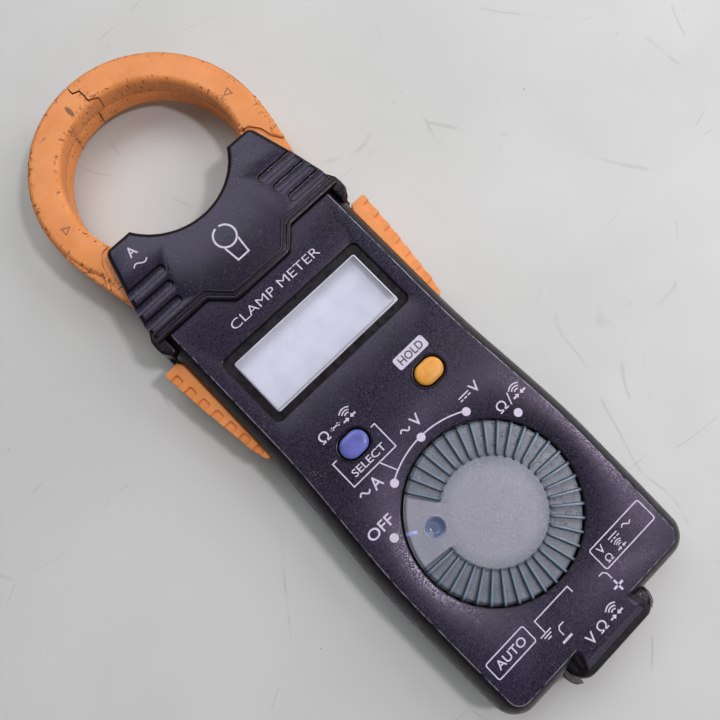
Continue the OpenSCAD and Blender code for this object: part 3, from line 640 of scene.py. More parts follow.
def dial_plastic():
    """Blue-grey satin plastic, dirty where fingers don't reach."""
    m = Look("dial_plastic", (0.1, 0.13, 0.16), 0.42)
    tone = m.mottle((6, 3), (0.155, 0.18, 0.225), (0.195, 0.22, 0.265))
    radius = m.distance(0, 0)
    flat = m.between(radius, FLAT_R + 0.5, FLAT_R - 3.0)
    mark = math.radians(MARK_A)
    along = m.math("SUBTRACT", m.times(m.axis("Y"), math.cos(mark)),
                   m.times(m.axis("X"), math.sin(mark)))
    sector = m.between(m.math("DIVIDE", along, m.math("ADD", radius, 0.01)), 0.905, 0.925)
    # flat middle and smooth sector painted paler than the ribbed band: painted sheen on the flat tops
    pale = m.math("MAXIMUM", flat, m.times(sector, 0.8))
    tone = m.over(tone, pale, 0.75, (0.33, 0.325, 0.4))
    # pale specks: painted glints
    speck = m.blots((0.34, 2, 0.6), 0.58, 0.7)
    tone = m.over(tone, speck, 0.45, (0.5, 0.49, 0.55))
    pit = m.blots((0.45, 2, 0.6), 0.4, 0.32)
    tone = m.over(tone, pit, 0.25, (0.07, 0.075, 0.09))
    low = m.between(m.axis("Z"), RIB_TOP - 0.45, RIB_TOP - 1.0)
    dirt = m.times(m.blots((1.1, 5, 0.7), 0.54, 0.66),
                  m.times(low, m.between(m.axis("X"), 2, 11)))
    dirt = m.times(dirt, m.between(radius, FLAT_R + 0.1, FLAT_R + 0.6))
    tone = m.over(tone, dirt, 0.85, (0.035, 0.026, 0.022))
    m.colour(tone)
    m.gloss((1.8, 4), 0.34, 0.48)
    m.bump(m.noise(0.32, 3, 0.6), 0.045)
    return m.mat


def rib_shade_and_highlight():
    """The dial's ribs: dark blue sides as painted shade, paler along the top as a painted highlight."""
    m = Look("rib_shade_and_highlight", (0.06, 0.09, 0.13), 0.35)
    # pale band along the rib tops: painted highlight
    top = m.between(m.axis("Z"), RIB_TOP - 0.22, RIB_TOP - 0.02)
    # dark blue tone of the rib sides: painted shade
    tone = m.mottle((3, 3), (0.035, 0.056, 0.088), (0.05, 0.076, 0.115))
    m.colour(m.mix(top, tone, (0.17, 0.235, 0.31)))
    m.gloss((1.4, 4), 0.28, 0.42)
    m.bump(m.noise(0.4, 3), 0.01)
    return m.mat


def moulded(name, base, rough=0.4, grain=0.008, size=0.6, **sockets):
    """Plain moulded plastic or rubber with slight tone and gloss changes."""
    m = Look(name, base, rough, **sockets)
    a, b = tuple(c * 0.86 for c in base), tuple(min(c * 1.12, 1) for c in base)
    m.colour(m.mottle((3.2, 4), a, b))
    m.gloss((1.2, 4), max(rough - 0.07, 0.05), rough + 0.08)
    m.bump(m.noise(size, 3), grain)
    return m.mat


def metal(name, base, rough=0.3, stretch=(1, 1, 1)):
    m = Look(name, base, rough, Metallic=1.0)
    a, b = tuple(c * 0.82 for c in base), tuple(min(c * 1.06, 1) for c in base)
    m.colour(m.mottle((1.6, 4), a, b))
    m.gloss((0.8, 4, 0.6, stretch), rough - 0.08, rough + 0.14)
    m.bump(m.noise(0.4, 3, 0.5, stretch), 0.004)
    return m.mat


def laminated():
    """Stacked steel sheets seen on edge."""
    m = Look("laminated_steel", (0.4, 0.4, 0.43), 0.38, Metallic=1.0)
    sheets = m.math("PINGPONG", m.times(m.axis("Z"), 2.0), 0.5)
    m.colour(m.mix(m.between(sheets, 0.05, 0.2), (0.12, 0.11, 0.11), (0.46, 0.46, 0.48)))
    m.gloss((0.9, 4), 0.3, 0.5)
    m.bump(sheets, 0.03)
    return m.mat


def winding():
    """Copper wire wound closely round the core."""
    m = Look("winding", (0.45, 0.16, 0.06), 0.35, Metallic=0.6)
    angle = m.math("ARCTAN2", m.math("SUBTRACT", m.axis("Y"), RING_Y), m.axis("X"))
    turns = m.math("PINGPONG", m.times(angle, 70.0), 0.5)
    # dark-to-light stripes across each turn: painted shade between the wires
    m.colour(m.mix(turns, (0.2, 0.05, 0.02), (0.6, 0.24, 0.09)))
    m.bump(turns, 0.12)
    return m.mat


def board_look():
    m = Look("board", (0.03, 0.14, 0.07), 0.35)
    tracks = m.math("PINGPONG", m.math("ADD", m.axis("Y"), m.times(m.noise(6, 1), 4.0)), 0.5)
    m.colour(m.mix(m.between(tracks, 0.2, 0.3), (0.03, 0.13, 0.06), (0.05, 0.2, 0.1)))
    m.gloss((2, 3), 0.28, 0.42)
    m.bump(tracks, 0.02)
    return m.mat


def lcd_look():
    """Blank liquid-crystal panel: pale lavender, with faint mottling painted as a reflection."""
    m = Look("lcd", (0.64, 0.66, 0.82), 0.5)
    # mottled tone: painted reflection
    tone = m.mottle((4.5, 4), (0.63, 0.65, 0.82), (0.72, 0.74, 0.92))
    # pale flecks over the panel
    pale_flecks = m.blots((0.5, 3, 0.6), 0.7, 0.76)
    m.colour(m.mix(m.times(pale_flecks, 0.3), tone, (0.85, 0.85, 0.92)))
    m.gloss((2, 3), 0.42, 0.6)
    m.bump(m.noise(0.9, 3), 0.004)
    return m.mat


def lens_look():
    """Clear window: mostly see-through with a soft reflection and hairline scratches."""
    m = Look("lens", (0.9, 0.92, 0.96), 0.16, Alpha=0.16, IOR=1.5)
    m.roughness(m.blots((1.5, 5, 0.7, (1, 0.15, 1)), 0.35, 0.7, 0.08, 0.3))
    m.bump(m.noise(6, 2), 0.01)
    return m.mat


def printing():
    """Pale screen print, slightly worn through."""
    m = Look("print", (0.6, 0.55, 0.7), 0.55)
    wear = m.blots((0.35, 4, 0.6), 0.3, 0.46)
    m.colour(m.mix(wear, (0.36, 0.32, 0.43), (0.66, 0.61, 0.76)))
    m.gloss((0.8, 3), 0.45, 0.62)
    m.bump(m.noise(0.3, 3), 0.008)
    return m.mat


def floor_look():
    """Pale satin table top with a few scratches and specks."""
    m = Look("floor", (0.62, 0.64, 0.625), 0.5, Specular_IOR_Level=0.25)
    tone = m.mottle((60, 3), (0.6, 0.625, 0.605), (0.66, 0.675, 0.665))
    scratch = m.blots((5, 6, 0.72, (1, 0.05, 1)), 0.66, 0.72)
    tone = m.over(tone, scratch, 0.25, (0.42, 0.43, 0.42))
    for size, turned in ((75, (1, 0.55, 1)), (48, (0.4, 1, 1))):
        cells = m.nodes.new("ShaderNodeTexVoronoi")
        cells.feature = "DISTANCE_TO_EDGE"
        cells.inputs["Scale"].default_value = 1 / size
        warped = m.nodes.new("ShaderNodeMapping")
        warped.inputs["Scale"].default_value = turned
        bent = m.nodes.new("ShaderNodeVectorMath")
        bent.operation = "ADD"
        m.links.new(m.where, bent.inputs[0])
        m.links.new(m.times(m.noise(34, 1), 12.0), bent.inputs[1])
        m.links.new(bent.outputs[0], warped.inputs["Vector"])
        m.links.new(warped.outputs["Vector"], cells.inputs["Vector"])
        line = m.between(cells.outputs["Distance"], 0.0035, 0.0015)
        line = m.times(line, m.blots((13, 4), 0.5, 0.62))
        tone = m.over(tone, line, 0.3, (0.36, 0.37, 0.36))
    speck = m.blots((2.2, 4, 0.7), 0.71, 0.735)
    tone = m.over(tone, speck, 0.8, (0.12, 0.12, 0.11))
    m.colour(tone)
    m.gloss((9, 4), 0.45, 0.6)
    m.bump(m.noise(14, 3), 0.03)
    return m.mat


BLACK = case_plastic()
EDGE = shaded_edge_plastic()
ARRIS_HIGHLIGHT = arris_highlight()
RING = orange_plastic("jaw_orange", ring=True)
ORANGE = orange_plastic("lever_orange")
DIAL = dial_plastic()
PRINT = printing()
STEEL = metal("steel", (0.62, 0.62, 0.64), 0.28)
BRASS = metal("brass", (0.78, 0.6, 0.32), 0.25)
CHIP = moulded("chip_black", (0.02, 0.02, 0.022), 0.45)
WHITE = moulded("white_plastic", (0.7, 0.7, 0.67), 0.45)
CAD_LOOKS = {
    "lcd_panel": lcd_look(), "lcd_frame": WHITE, "dial_rotor": WHITE,
    "contact_strips": moulded("strip_rubber", (0.45, 0.32, 0.36), 0.6),
    "circuit_board": board_look(), "board_parts": CHIP, "main_chip": CHIP,
    "battery_holder": CHIP, "terminal_block": CHIP, "fixed_core_clamp": CHIP,
    "dial_tracks": BRASS, "buzzer": BRASS, "battery_plus_clip": BRASS,
    "battery_minus_spring": BRASS, "minus_socket": BRASS, "plus_socket": BRASS,
    "socket_leads": BRASS, "dial_wipers": BRASS,
    "coin_cell": STEEL, "battery_cover_screw": STEEL, "case_screws": STEEL, "jaw_pins": STEEL,
    "lever_pins": STEEL, "left_jaw_spring": STEEL, "right_jaw_spring": STEEL,
    "dial_screw": STEEL, "detent_ball": STEEL, "detent_spring": STEEL,
    "select_dome": moulded("dome_rubber", (0.55, 0.55, 0.52), 0.6),
    "battery_cover": BLACK, "rear_case": BLACK,
}
CAD_LOOKS["hold_dome"] = CAD_LOOKS["select_dome"]
CAD_LOOKS.update(dict.fromkeys(("left_core", "right_core", "fixed_core"), laminated()))
CAD_LOOKS.update(dict.fromkeys(("left_coil", "right_coil"), winding()))
for node, look in CAD_LOOKS.items():
    nodes[node].data.materials.clear()
    nodes[node].data.materials.append(look)

# ---------- front case ----------


def body_outline(top_y):
    """Case outline at its widest level, up to top_y."""
    half = smooth_curve([(HIP_X - 0.35, -25), (HIP_X - 0.05, -10), (HIP_X, 4), (27.25, 20), (26.55, 30),
                         (26.2, 40), (26.2, 57)], 5)
    side = [(x, y, 1) for x, y in half]
    corner = arc(21.8, -28.2, 6, -90, -8, 8)
    right = corner + side[1:] + [(26.2, top_y, 1, -1, 0)]
    left = [(-p[0], *p[1:3], *([1, 0] if len(p) == 5 else [])) for p in reversed(right)]
    return right + left


def cavity_outline(top_y):
    right = [(20.2, -32.2, 1), (24.2, -29.2, 1), (25.6, -24.7, 1), (HIP_X - 2.1, 0, 1), (24.7, 24, 1),
             (24.2, 36, 1), (24.2, top_y, 1)]
    return right + [(-x, y, w) for x, y, w in reversed(right)]


def front_case():
    b = Builder()
    # the sides take the darker edge plastic: painted shade
    sides = [(0, PART_Z), (0.05, 8.6), (0.25, 10), (0.75, 11.6), (1.5, 12.9), (2.35, 13.9),
             (2.9, 14.35), (3.05, 14.45), (3.3, FACE)]
    # the last step, the thin arris round the face, takes the painted edge highlight
    rim, edge = b.wall(body_outline(74.1), sides, [1, 1, 1, 1, 1, 1, 1, 2])
    inside_low, inside_top = b.wall(cavity_outline(73.6), [(0, PART_Z), (0, 13)], [1])
    b.fill(rim, inside_low, mat=1)
    tops, roofs = [edge], [inside_top]
    # round hole that the dial lies in, with its shaft's bore
    recess = circle(0, 0, RECESS_R, 96)[::-1]
    bore = circle(0, 0, 5, 48)[::-1]
    low, top = b.wall(recess, [(0, 13.2), (0, FACE - 0.3), (0.08, FACE - 0.1), (0.3, FACE)], [1, 1, 1])
    bore_low, bore_top = b.wall(bore, [(0, 13.0), (0, 13.2)], [1])
    b.fill(low, bore_top, mat=1)
    tops.append(top)
    roofs.append(bore_low)
    # button holes: a sloping ring round each cap
    for s in (-1, 1):
        hole = stadium(s * BUTTON_X, BUTTON_Y, 7.5, 5.7)[::-1]
        low, top = b.wall(hole, [(0, 13), (0, FACE), (0.1, 14.76), (0.3, 14.8), (0.5, FACE)], [1] * 4)
        tops.append(top)
        roofs.append(low)
    # display recess with the window's opening in its floor
    opening = rounded_box(-17.85, 46.05, 17.85, 60.4, 0.5, 3)[::-1]
    frame_hole = rounded_box(-19.7, 44.35, 19.7, 62.35, 1.4, 6)[::-1]
    low, lip = b.wall(opening, [(0, 13), (0, 13.9)], [1])
    floor_ring, top = b.wall(frame_hole, [(0, 13.9), (0, 14.4), (0.08, 14.54), (0.25, FACE)], [1, 1, 1])
    b.fill(lip, floor_ring, mat=1)
    tops.append(top)
    roofs.append(low)
    b.fill(*tops, mat=0)
    b.fill(*roofs, mat=1)
    case = b.finish("front_shell", [BLACK, EDGE, ARRIS_HIGHLIGHT], 28)

    def both_sides(x, y0, y1, z1):
        """Room from x to past the case's side, on the left and on the right."""
        def draw(t):
            box(-33, y0, -x, y1, 5, z1)(t)
            box(x, y0, 33, y1, 5, z1)(t)
        return draw

    def tongue(t):
        t.plate([(-7.7, 69.8, 1), (7.7, 69.8, 1), (12.3, 74.2, 1), (12.3, 80, 1), (-12.3, 80, 1),
                 (-12.3, 74.2, 1)], 5, 20, 0, 0)

    lever_slots, ears = both_sides(19.4, 40.1, 71, 11), both_sides(24.4, 70.4, 80, 13.35)
    cut(case, lever_slots, ears, tongue, box(-11.8, -41.3, 11.8, -22.8, 5, 12))
    shade(case, 28)
    return case


def nose():
    """Front half of the socket nose: the face runs on as a tongue, with a scoop on each side."""
    b = Builder()
    start, corner, across, along = -30.0, 4.2, 84, 64
    half, top_end = 12.1, NOSE_END - 2.4
    low_half, low_end, low_corner = 12.95, NOSE_END - 0.1, 4.0

    def outline(x, width, length, r):
        over = max(abs(x) - (width - r), 0)
        return -length + r - math.sqrt(max(r ** 2 - over ** 2, 0))

    def end(x):
        return outline(x, half, top_end, corner)

    def foot(v):
        x = v.co.x * low_half / half
        share = (v.co.y - start) / (end(v.co.x) - start)
        y = start + (outline(x, low_half, low_end, low_corner) - start) * share
        return b.bm.verts.new((x, y, PART_Z))

    def height(x, y):
        z_tongue = FACE + 0.005 - 0.3 * smooth(-y, 33.8, 35.2) - 1.0 * smooth(-y, 35.0, 37.2)
        z_side = FACE - 0.3 - 1.85 * smooth(-y, 30.6, 33.0) + 0.5 * smooth(-y, 33.6, 35.4)
        mid = 1 - smooth(abs(x), 7.2 + 1.2 * smooth(-y, 31, 36), 9.6 + 0.8 * smooth(-y, 31, 36))
        z = z_side + (z_tongue - z_side) * mid
        side = half - abs(x)
        if side < 2.0:
            z -= 1.9 * (1 - math.sqrt(max(1 - (1 - side / 2.0) ** 2, 0)))
        tip = y - end(x)
        if tip < 1.4:
            z -= 1.2 * (1 - math.sqrt(max(1 - (1 - tip / 1.4) ** 2, 0)))
        return z

    rows = []
    for j in range(along + 1):
        t = 1 - (1 - j / along) ** 1.5
        row = []
        for i in range(across + 1):
            s = math.sin((i / across - 0.5) * math.pi)
            x = half * s
            y = start + (end(x) - start) * t
            row.append(b.bm.verts.new((x, y, height(x, y))))
        rows.append(row)
    for r0, r1 in zip(rows, rows[1:]):
        for i in range(across):
            b.bm.faces.new((r0[i], r0[i + 1], r1[i + 1], r1[i]))
    rim = rows[0] + [r[-1] for r in rows[1:-1]] + rows[-1][::-1] + [r[0] for r in rows[1:-1]][::-1]
    low = [foot(v) for v in rim]
    b.skirt(rim, low)
    b.fill(low)
    shell = b.finish("nose_front", [EDGE], 45)
    cut(shell, lambda t: t.plate(rounded_box(-11.8, -35.5, 11.8, -22, 0.5), 5, 12, 0, 0),
        lambda t: t.plate(rounded_box(-10.9, -42, 10.9, -30, 0.5), 5, 11.2, 0, 0))
    shade(shell, 45)
    # faces that look up take the face plastic; the other faces keep the darker edge plastic, painted shade
    repaint(shell, BLACK, lambda c, n: n.z > 0.86 and c.z > 13.2)
    return shell


# ---------- head cover ----------

ARC_R = 16.8
SIDE_Y = 74.3
MID_Y = 69.9


def copied(node, name):
    """A piece that starts from a CAD node's mesh, with its points merged."""
    bm = bmesh.new()
    bm.from_mesh(nodes[node].data)
    bmesh.ops.transform(bm, matrix=nodes[node].matrix_world, verts=bm.verts)
    bmesh.ops.remove_doubles(bm, verts=bm.verts, dist=1e-6)
    return from_bmesh(bm, name, [CAD_LOOKS[node]])


def dome(side):
    """Rubber dome under a button, copied from the CAD mesh."""
    node = side + "_dome"
    obj = copied(node, node + "_rubber")
    shade(obj, 30)
    place(obj, "case", "dome_rubber", node)
    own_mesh(obj)


def socket_block():
    """The socket block with its corners rounded to lie inside the nose."""
    block = copied("terminal_block", "socket_block")
    room = rounded_box(-12.75, -39.95, 12.75, -10, 4.0, 10)

    cut(block, lambda t: t.solid(room, [(0, 0), (0, 7.2), (2.5, 11.6), (2.6, 13)]), keep=True)
    shade(block, 30)
    return block


def head_outline():
    """Head cover seen from the front, hollowed by the ring's circle."""
    right = [(7.6, MID_Y), (12.2, SIDE_Y), (26.4, SIDE_Y), (26.0, 79), (24.4, 86), (22.9, 91.2),
             (21.8, 95.2), (21.5, 96.2), (21.0, 97.0), (20.2, 97.4)]
    start = math.degrees(math.asin((97.4 - RING_Y) / ARC_R))
    curve = arc(0, RING_Y, ARC_R, start, -180 - start, 56)
    right_points = [(x, y, 1) for x, y in right]
    left_points = [(-x, y, 1) for x, y in reversed(right)]
    return right_points + [(14.9, 97.4, 1)] + curve + [(-14.9, 97.4, 1)] + left_points


def groove(t, s, k):
    """One grip groove that starts inside the head and runs out at its side."""
    y = 86.3 - 3.8 * k
    x0 = 15 + k
    points = on_side(arc(x0, y, 1, 90, 270, 10) + [(30, y - 1, 1), (30, y + 1, 1)], s)
    steps = [(0.26, COVER_TOP - 0.75), (0.1, COVER_TOP - 0.68), (0.04, COVER_TOP - 0.5),
             (0, COVER_TOP - 0.18), (-0.1, COVER_TOP - 0.04), (-0.2, COVER_TOP + 0.01),
             (-0.2, COVER_TOP + 1)]
    t.solid(points, steps, [1] * 6)


def head_cover():
    b = Builder()
    steps = [(0, 13.1), (0, 14.35), (0.12, 14.7), (0.4, 15.0), (0.85, COVER_TOP - 0.06),
             (1.05, COVER_TOP)]
    low, top = b.wall(head_outline(), steps, [1] * 5)
    b.fill(low, mat=1)
    b.fill(top)
    plate = b.finish("head_plate", [BLACK, EDGE], 30)
    for s in (-1, 1):
        for k in (0, 1, 2):
            cut(plate, lambda t, s=s, k=k: groove(t, s, k))
    for p in (-1, 1):
        cut(plate, drill(1.52, 5, 14, 32, p * PIVOT_X, PIVOT_Y))
    shade(plate, 30)

    trim = Builder()
    # two ridges along the lower border
    outer = [(26.2, SIDE_Y + 0.5), (12.6, SIDE_Y + 0.5), (11.9, SIDE_Y + 0.25), (7.9, MID_Y + 0.7),
             (7.2, MID_Y + 0.45)]
    inner = [(26.0, SIDE_Y + 2.1), (12.0, SIDE_Y + 2.1), (11.3, SIDE_Y + 1.85), (7.2, MID_Y + 2.0),
             (6.5, MID_Y + 1.75)]
    for line, r in ((outer, 0.55), (inner, 0.36)):
        whole = line + [(-x, y) for x, y in reversed(line)]
        trim.sweep(whole, r, COVER_TOP - 0.02, r * 0.85)
    # ears that wrap round the case's sides
    for s in (-1, 1):
        ear = [(24.5, 70.7, 1), (26.1, 70.7, 1), (27.2, 72.4, 1), (27.35, 74, 1), (27.2, 75.8, 1),
               (26.2, 77.6, 1), (24.5, 77.9, 1)]
        trim.plate(on_side(ear, s), PART_Z, 14.9, 0.6, 0.3)
        for y in (72.9, 75.2):
            trim.sweep([(s * 25.0, y), (s * 26.8, y)], 0.35, 14.85)
    # wall behind the hollow edge
    a0, a1 = 220, 320
    n = 48
    outer_arc = arc(0, RING_Y, 18.1, a0, a1, n)
    inner_arc = arc(0, RING_Y, ARC_R + 0.1, a1, a0, n)
    trim.plate(outer_arc + inner_arc, 2.1, 13.3, 0, 0.3)
    trim.lathe([(0, PART_Z), (2.4, PART_Z), (2.6, 7.6), (2.6, 13.2), (0, 13.2)], 32, 0, 72.6)
    trims = trim.finish("head_trim", [EDGE], 35)
    cut(trims, drill(1, 5, 12.4, 24, 0, 72.6))
    shade(trims, 35)
    return joined("head_shell", [plate, trims])


# ---------- jaws ----------

SEAM_GAP = 0.15
PIN_R = 1.55
END_A = 18


def half_plan(s, front):
    """Plan of one half of the ring, out to well past it: stepped seam in front, straight behind."""
    g = SEAM_GAP * s
    if front:
        seam = [(g - 1.9, 40), (g - 1.9, 25.3 + g), (g - 0.35, 24.75 + g), (g - 0.35, 21.7 + g),
                (g + 1.8, 20.95 + g), (g + 1.8, 18)]
    else:
        seam = [(g, 40), (g, 18)]
    end = math.radians(END_A)
    rest = [(0, 0), (s * 42 * math.sin(end), -42 * math.cos(end)), (s * 42, -40), (s * 42, 40)]
    return anticlockwise([(x, y + RING_Y, 1) for x, y in seam + rest])


def at_seam(c, normal):
    """The jaws' faces that meet in the seam."""
    r = math.hypot(c.x, c.y - RING_Y)
    return (abs(c.x) < 2.6 and abs(normal.z) < 0.5 and c.y > RING_Y + 20
            and (abs(normal.x) > 0.6 or HOLE_R + 0.6 < r < RING_R - 1.3))


def raised_cut(t, s, z0, z1):
    """Where the neck lies lower than the ring."""
    line = [(10, 70), (31, 70), (31, 91.2), (25.6, 91.2), (24.4, 93), (23.6, 96.5), (21.8, 98.8),
            (19.0, 99.3), (10, 99.3)]
    t.plate(on_side(weighted(line), s), z0, z1, 0, 0)


def neck_outline():
    right = [(21.4, 64.6), (23.1, 64.6), (23.85, 65.3), (23.85, 78.5), (24.05, 82), (25, 86),
             (26.4, 92.5), (27.4, 97), (27.95, 100.5), (28.3, 104), (24.5, 104.4), (20.4, 99.2),
             (20, 98), (12.6, 82), (13.15, 78.5)]
    right += [(p[0], p[1]) for p in arc(PIVOT_X, PIVOT_Y, 5.35, 180, 218, 6)[1:]]
    right += [(15.6, 74.4), (20.8, 66)]
    return weighted(right)


def ring_room(t):
    """Round channel inside the jaws for the cores."""
    for r, flip in ((27.3, 1), (22.1, -1)):
        points = circle(0, RING_Y, r, 120)[::flip]
        low, top = t.wall(points, [(0, 3.7), (0, 11.4)])
        if flip > 0:
            outer = (low, top)
    t.fill(outer[0], low)
    t.fill(outer[1], top)


def half_ring(s, outer, inner, front):
    """Half of the ring, turned from (inset, height) steps that go from one face to the other."""
    b = Builder()
    outside = b.wall(circle(0, RING_Y, RING_R, 144), outer)
    inside = b.wall(circle(0, RING_Y, HOLE_R, 144)[::-1], inner)
    for a, c in zip(outside, inside):
        b.fill(a, c)
    ring = b.finish("jaw_ring", [RING], 40)
    cut(ring, lambda t: t.plate(half_plan(s, front), 0, 16, 0, 0), keep=True)
    return ring


def jaw_neck(s, z0, z1, top, bottom, steps, top_r):
    """Half of the neck, with the pin's bore going up through the given (radius, height) steps."""
    n = Builder()
    bore = [(PIN_R, z0), *steps, (top_r, z1)]
    n.plate(on_side(neck_outline(), s), z0, z1, top, bottom, holes=[(s * PIVOT_X, PIVOT_Y, bore)])
    neck = n.finish("jaw_neck", [RING], 40)
    cut(neck, ring_room, drill(HOLE_R - 0.02, 2, 15, 120, 0, RING_Y))
    shade(neck, 40)
    return neck


def jaw_front(s):
    joint = [(0.1, JAW_SPLIT + 0.02), (0, JAW_SPLIT + 0.2)]
    outer = joint + [(0.15, 9.5), (0.35, 11.6)] + [(0.5 + i, z) for i, z in rounding(1.2, JAW_FRONT, 6)]
    inner = joint + [(-0.1, 9.5)] + [(i - 0.2, z) for i, z in rounding(1.35, JAW_FRONT, 7)]
    ring = half_ring(s, outer, inner, True)
    cut(ring, lambda t: raised_cut(t, s, NECK_FRONT - 0.2, 16), ring_room)
    shade(ring, 40)
    repaint(ring, GRIME, at_seam)
    neck = jaw_neck(s, JAW_SPLIT + 0.02, NECK_FRONT, 0.5, 0.1, [(PIN_R, 9), (3.7, 9)], 3.7)
    # raised lip where the ring steps up from the neck
    lip = Builder()
    line = [(19.9, 99.75), (21.9, 99.3), (24.1, 96.8), (24.9, 93.4), (25.9, 91.75), (26.1, 91.7)]
    lip.sweep([(s * x, y) for x, y in line], 0.5, JAW_FRONT - 0.5)
    edge = lip.finish("jaw_lip", [RING], 40)
    # arrow outline pointing at the hole's centre, a flat darker patch painted as the shade in its groove
    arrow = Builder()
    tri = [(22.6, 108.0, 1), (24.7, 106.9, 1), (24.7, 109.1, 1)]
    tri = anticlockwise(on_side(tri, s))
    o_low, o_top = arrow.wall(tri, [(0, JAW_FRONT - 0.05), (0, JAW_FRONT + 0.01)])
    i_low, i_top = arrow.wall(offset(tri, 0.28)[::-1], [(0, JAW_FRONT - 0.05), (0, JAW_FRONT + 0.01)])
    arrow.fill(o_low, i_low)
    arrow.fill(o_top, i_top)
    mark = arrow.finish("jaw_arrow", [ARROW_SHADE], 40)
    return joined("jaw_front_" + SIDE[s], [ring, neck, edge, mark])


def jaw_rear(s):
    outer = rounding(1.0, JAW_BACK, 5, up=False)[::-1] + [(0, 7.4), (0.1, JAW_SPLIT - 0.03)]
    inner = rounding(0.6, JAW_BACK, 4, up=False)[::-1] + [(0, 7.4), (0.1, JAW_SPLIT - 0.03)]
    ring = half_ring(s, outer, inner, False)
    cut(ring, lambda t: raised_cut(t, s, -2, NECK_BACK + 0.2), ring_room)
    shade(ring, 40)
    neck = jaw_neck(s, NECK_BACK, JAW_SPLIT - 0.03, 0.1, 0.5, [], PIN_R)
    return joined("jaw_rear_" + SIDE[s], [ring, neck])


# ---------- levers ----------

GRIP = [(26.3, 40.9), (26.8, 41.4), (27.6, 45), (29.2, 58), (30.2, 69.2)]


def grip_x(y):
    for (x0, y0), (x1, y1) in zip(GRIP, GRIP[1:]):
        if y <= y1:
            return x0 + (x1 - x0) * (y - y0) / (y1 - y0)
    return GRIP[-1][0]


def lever_outline(notched):
    side = [(23.8, 44.4), (23.4, 41.2), (26.2, 40.9), (26.75, 41.4)]
    if notched:
        for k in range(6, -1, -1):
            y0 = 65.6 - 3.85 * k
            y1 = y0 + 2.3
            deep = 28.1 - 0.4 * k
            side += [(grip_x(y0), y0), (deep + 0.5, y0), (deep + 0.12, y0 + 0.15), (deep, y0 + 0.5),
                     (deep, y1 - 0.5), (deep + 0.12, y1 - 0.15), (deep + 0.5, y1), (grip_x(y1), y1)]
    else:
        side += [(27.6, 45), (29.2, 58)]
    side += [(30.15, 69.2), (29.7, 69.7), (26.45, 69.7), (24.2, 66.1), (24.2, 45.4)]
    return weighted(side)


def lever(s):
    layers = []
    deep = 0.6
    spans = ((LEVER_BACK, LEVER_BACK + deep, True), (LEVER_BACK + deep, LEVER_FRONT - deep, False),
             (LEVER_FRONT - deep, LEVER_FRONT, True))
    for i, (z0, z1, notched) in enumerate(spans):
        b = Builder()
        points = lever_outline(notched)
        top, bottom = (0.14, 0.0) if i == 2 else (0.0, 0.14) if i == 0 else (0.14, 0.14)
        b.plate(on_side(points, s), z0, z1, top, bottom, steps=3)
        layers.append(b.finish("lever_layer", [ORANGE], 30))
    hub = Builder()
    hub.plate(circle(s * LEVER_X, LEVER_Y, 2.1, 32), LEVER_BACK, LEVER_FRONT, 0.1, 0.1,
              holes=[(s * LEVER_X, LEVER_Y, [(0.95, LEVER_BACK), (0.95, LEVER_FRONT)])])
    layers.append(hub.finish("lever_hub", [ORANGE], 30))
    return joined("lever_" + SIDE[s], layers)


# ---------- dial ----------


def dial_point(r, a, z=0.0):
    """Point at radius r and angle a from +Y, turned towards -X."""
    t = math.radians(a)
    return (-r * math.sin(t), r * math.cos(t), z)


def dial_height(r, a):
    """Top surface of the dial: flat middle, lower ribbed band, smooth sector by the mark."""
    away = abs((a - MARK_A + 180) % 360 - 180)
    band = 15.5 - 0.65 * smooth(r, FLAT_R, FLAT_R + 0.7) - 0.1 * smooth(r, 13, 17.5)
    sector = 15.5 - 0.15 * smooth(r, 12, 17.5)
    t = smooth(away, 22.5, 24.5)
    z = sector + (band - sector) * t
    z -= 0.75 * smooth(r, DIAL_R - 0.75, DIAL_R) ** 1.5
    px, py, _ = dial_point(r, a)
    cx, cy, _ = dial_point(12.8, MARK_A)
    d = math.hypot(px - cx, py - cy)
    if d < 2.6:
        z += 0.05 * math.exp(-((d - 2.42) / 0.12) ** 2) - 0.75 * (1 - smooth(d, 0.9, 2.3))
    return z


def dial_knob():
    b = Builder()
    radii = [0.4, 2, 4, 6, 8]
    radii += [8.4 + 0.2 * i for i in range(45)]
    radii += [DIAL_R - d for d in (1.3, 1.0, 0.75, 0.6, 0.45, 0.3, 0.2, 0.1, 0)]
    count = 540
    rings = []
    for r in radii:
        rings.append(b.ring([dial_point(r, 360 * i / count, dial_height(r, 360 * i / count))
                             for i in range(count)]))
    rings.append(b.ring([dial_point(DIAL_R, 360 * i / count, 13.5) for i in range(count)]))
    for p, q in zip(rings, rings[1:]):
        b.skirt(p, q)
    b.bm.faces.new(rings[0])
    b.fill(rings[-1])
    # ribs
    stations = [(11.3, 15.3, 0.1), (11.45, 15.62, 0.22), (11.8, 15.86, 0.28), (12.4, 15.97, 0.3),
                (14, RIB_TOP, 0.31), (17.9, RIB_TOP, 0.34), (18.6, 15.9, 0.34), (18.95, 15.65, 0.33),
                (19.12, 15.1, 0.3), (19.14, 14.4, 0.28)]
    for k in range(35):
        a = MARK_A - 27 - 9 * k
        out = Vector(dial_point(1, a))
        side = Vector((-out.y, out.x, 0))
        rows = []
        for r, z, w in stations:
            shape = [(-1.08, 14.0), (-0.95, z - 0.3), (-0.72, z - 0.08), (0, z), (0.72, z - 0.08),
                     (0.95, z - 0.3), (1.08, 14.0)]
            rows.append([tuple(out * r + side * (x * w) + Vector((0, 0, max(h, 13.9)))) for x, h in shape])
        b.bar(rows, 1)
    # shaft below the disc
    b.lathe([(0, 9), (4.6, 9), (4.95, 9.3), (4.95, 13.6), (0, 13.6)], 48)
    knob = b.finish("dial_top", [DIAL, RIB], 40)
    cut(knob, drill(1.25, 5, 13, 24))
    shade(knob, 40)
    cx, cy, _ = dial_point(12.8, MARK_A)
    # the dimple's hollow takes a darker blue: painted shade
    repaint(knob, DIMPLE_SHADE, lambda c, n: c.z > 14 and math.hypot(c.x - cx, c.y - cy) < 2.22)
    return knob


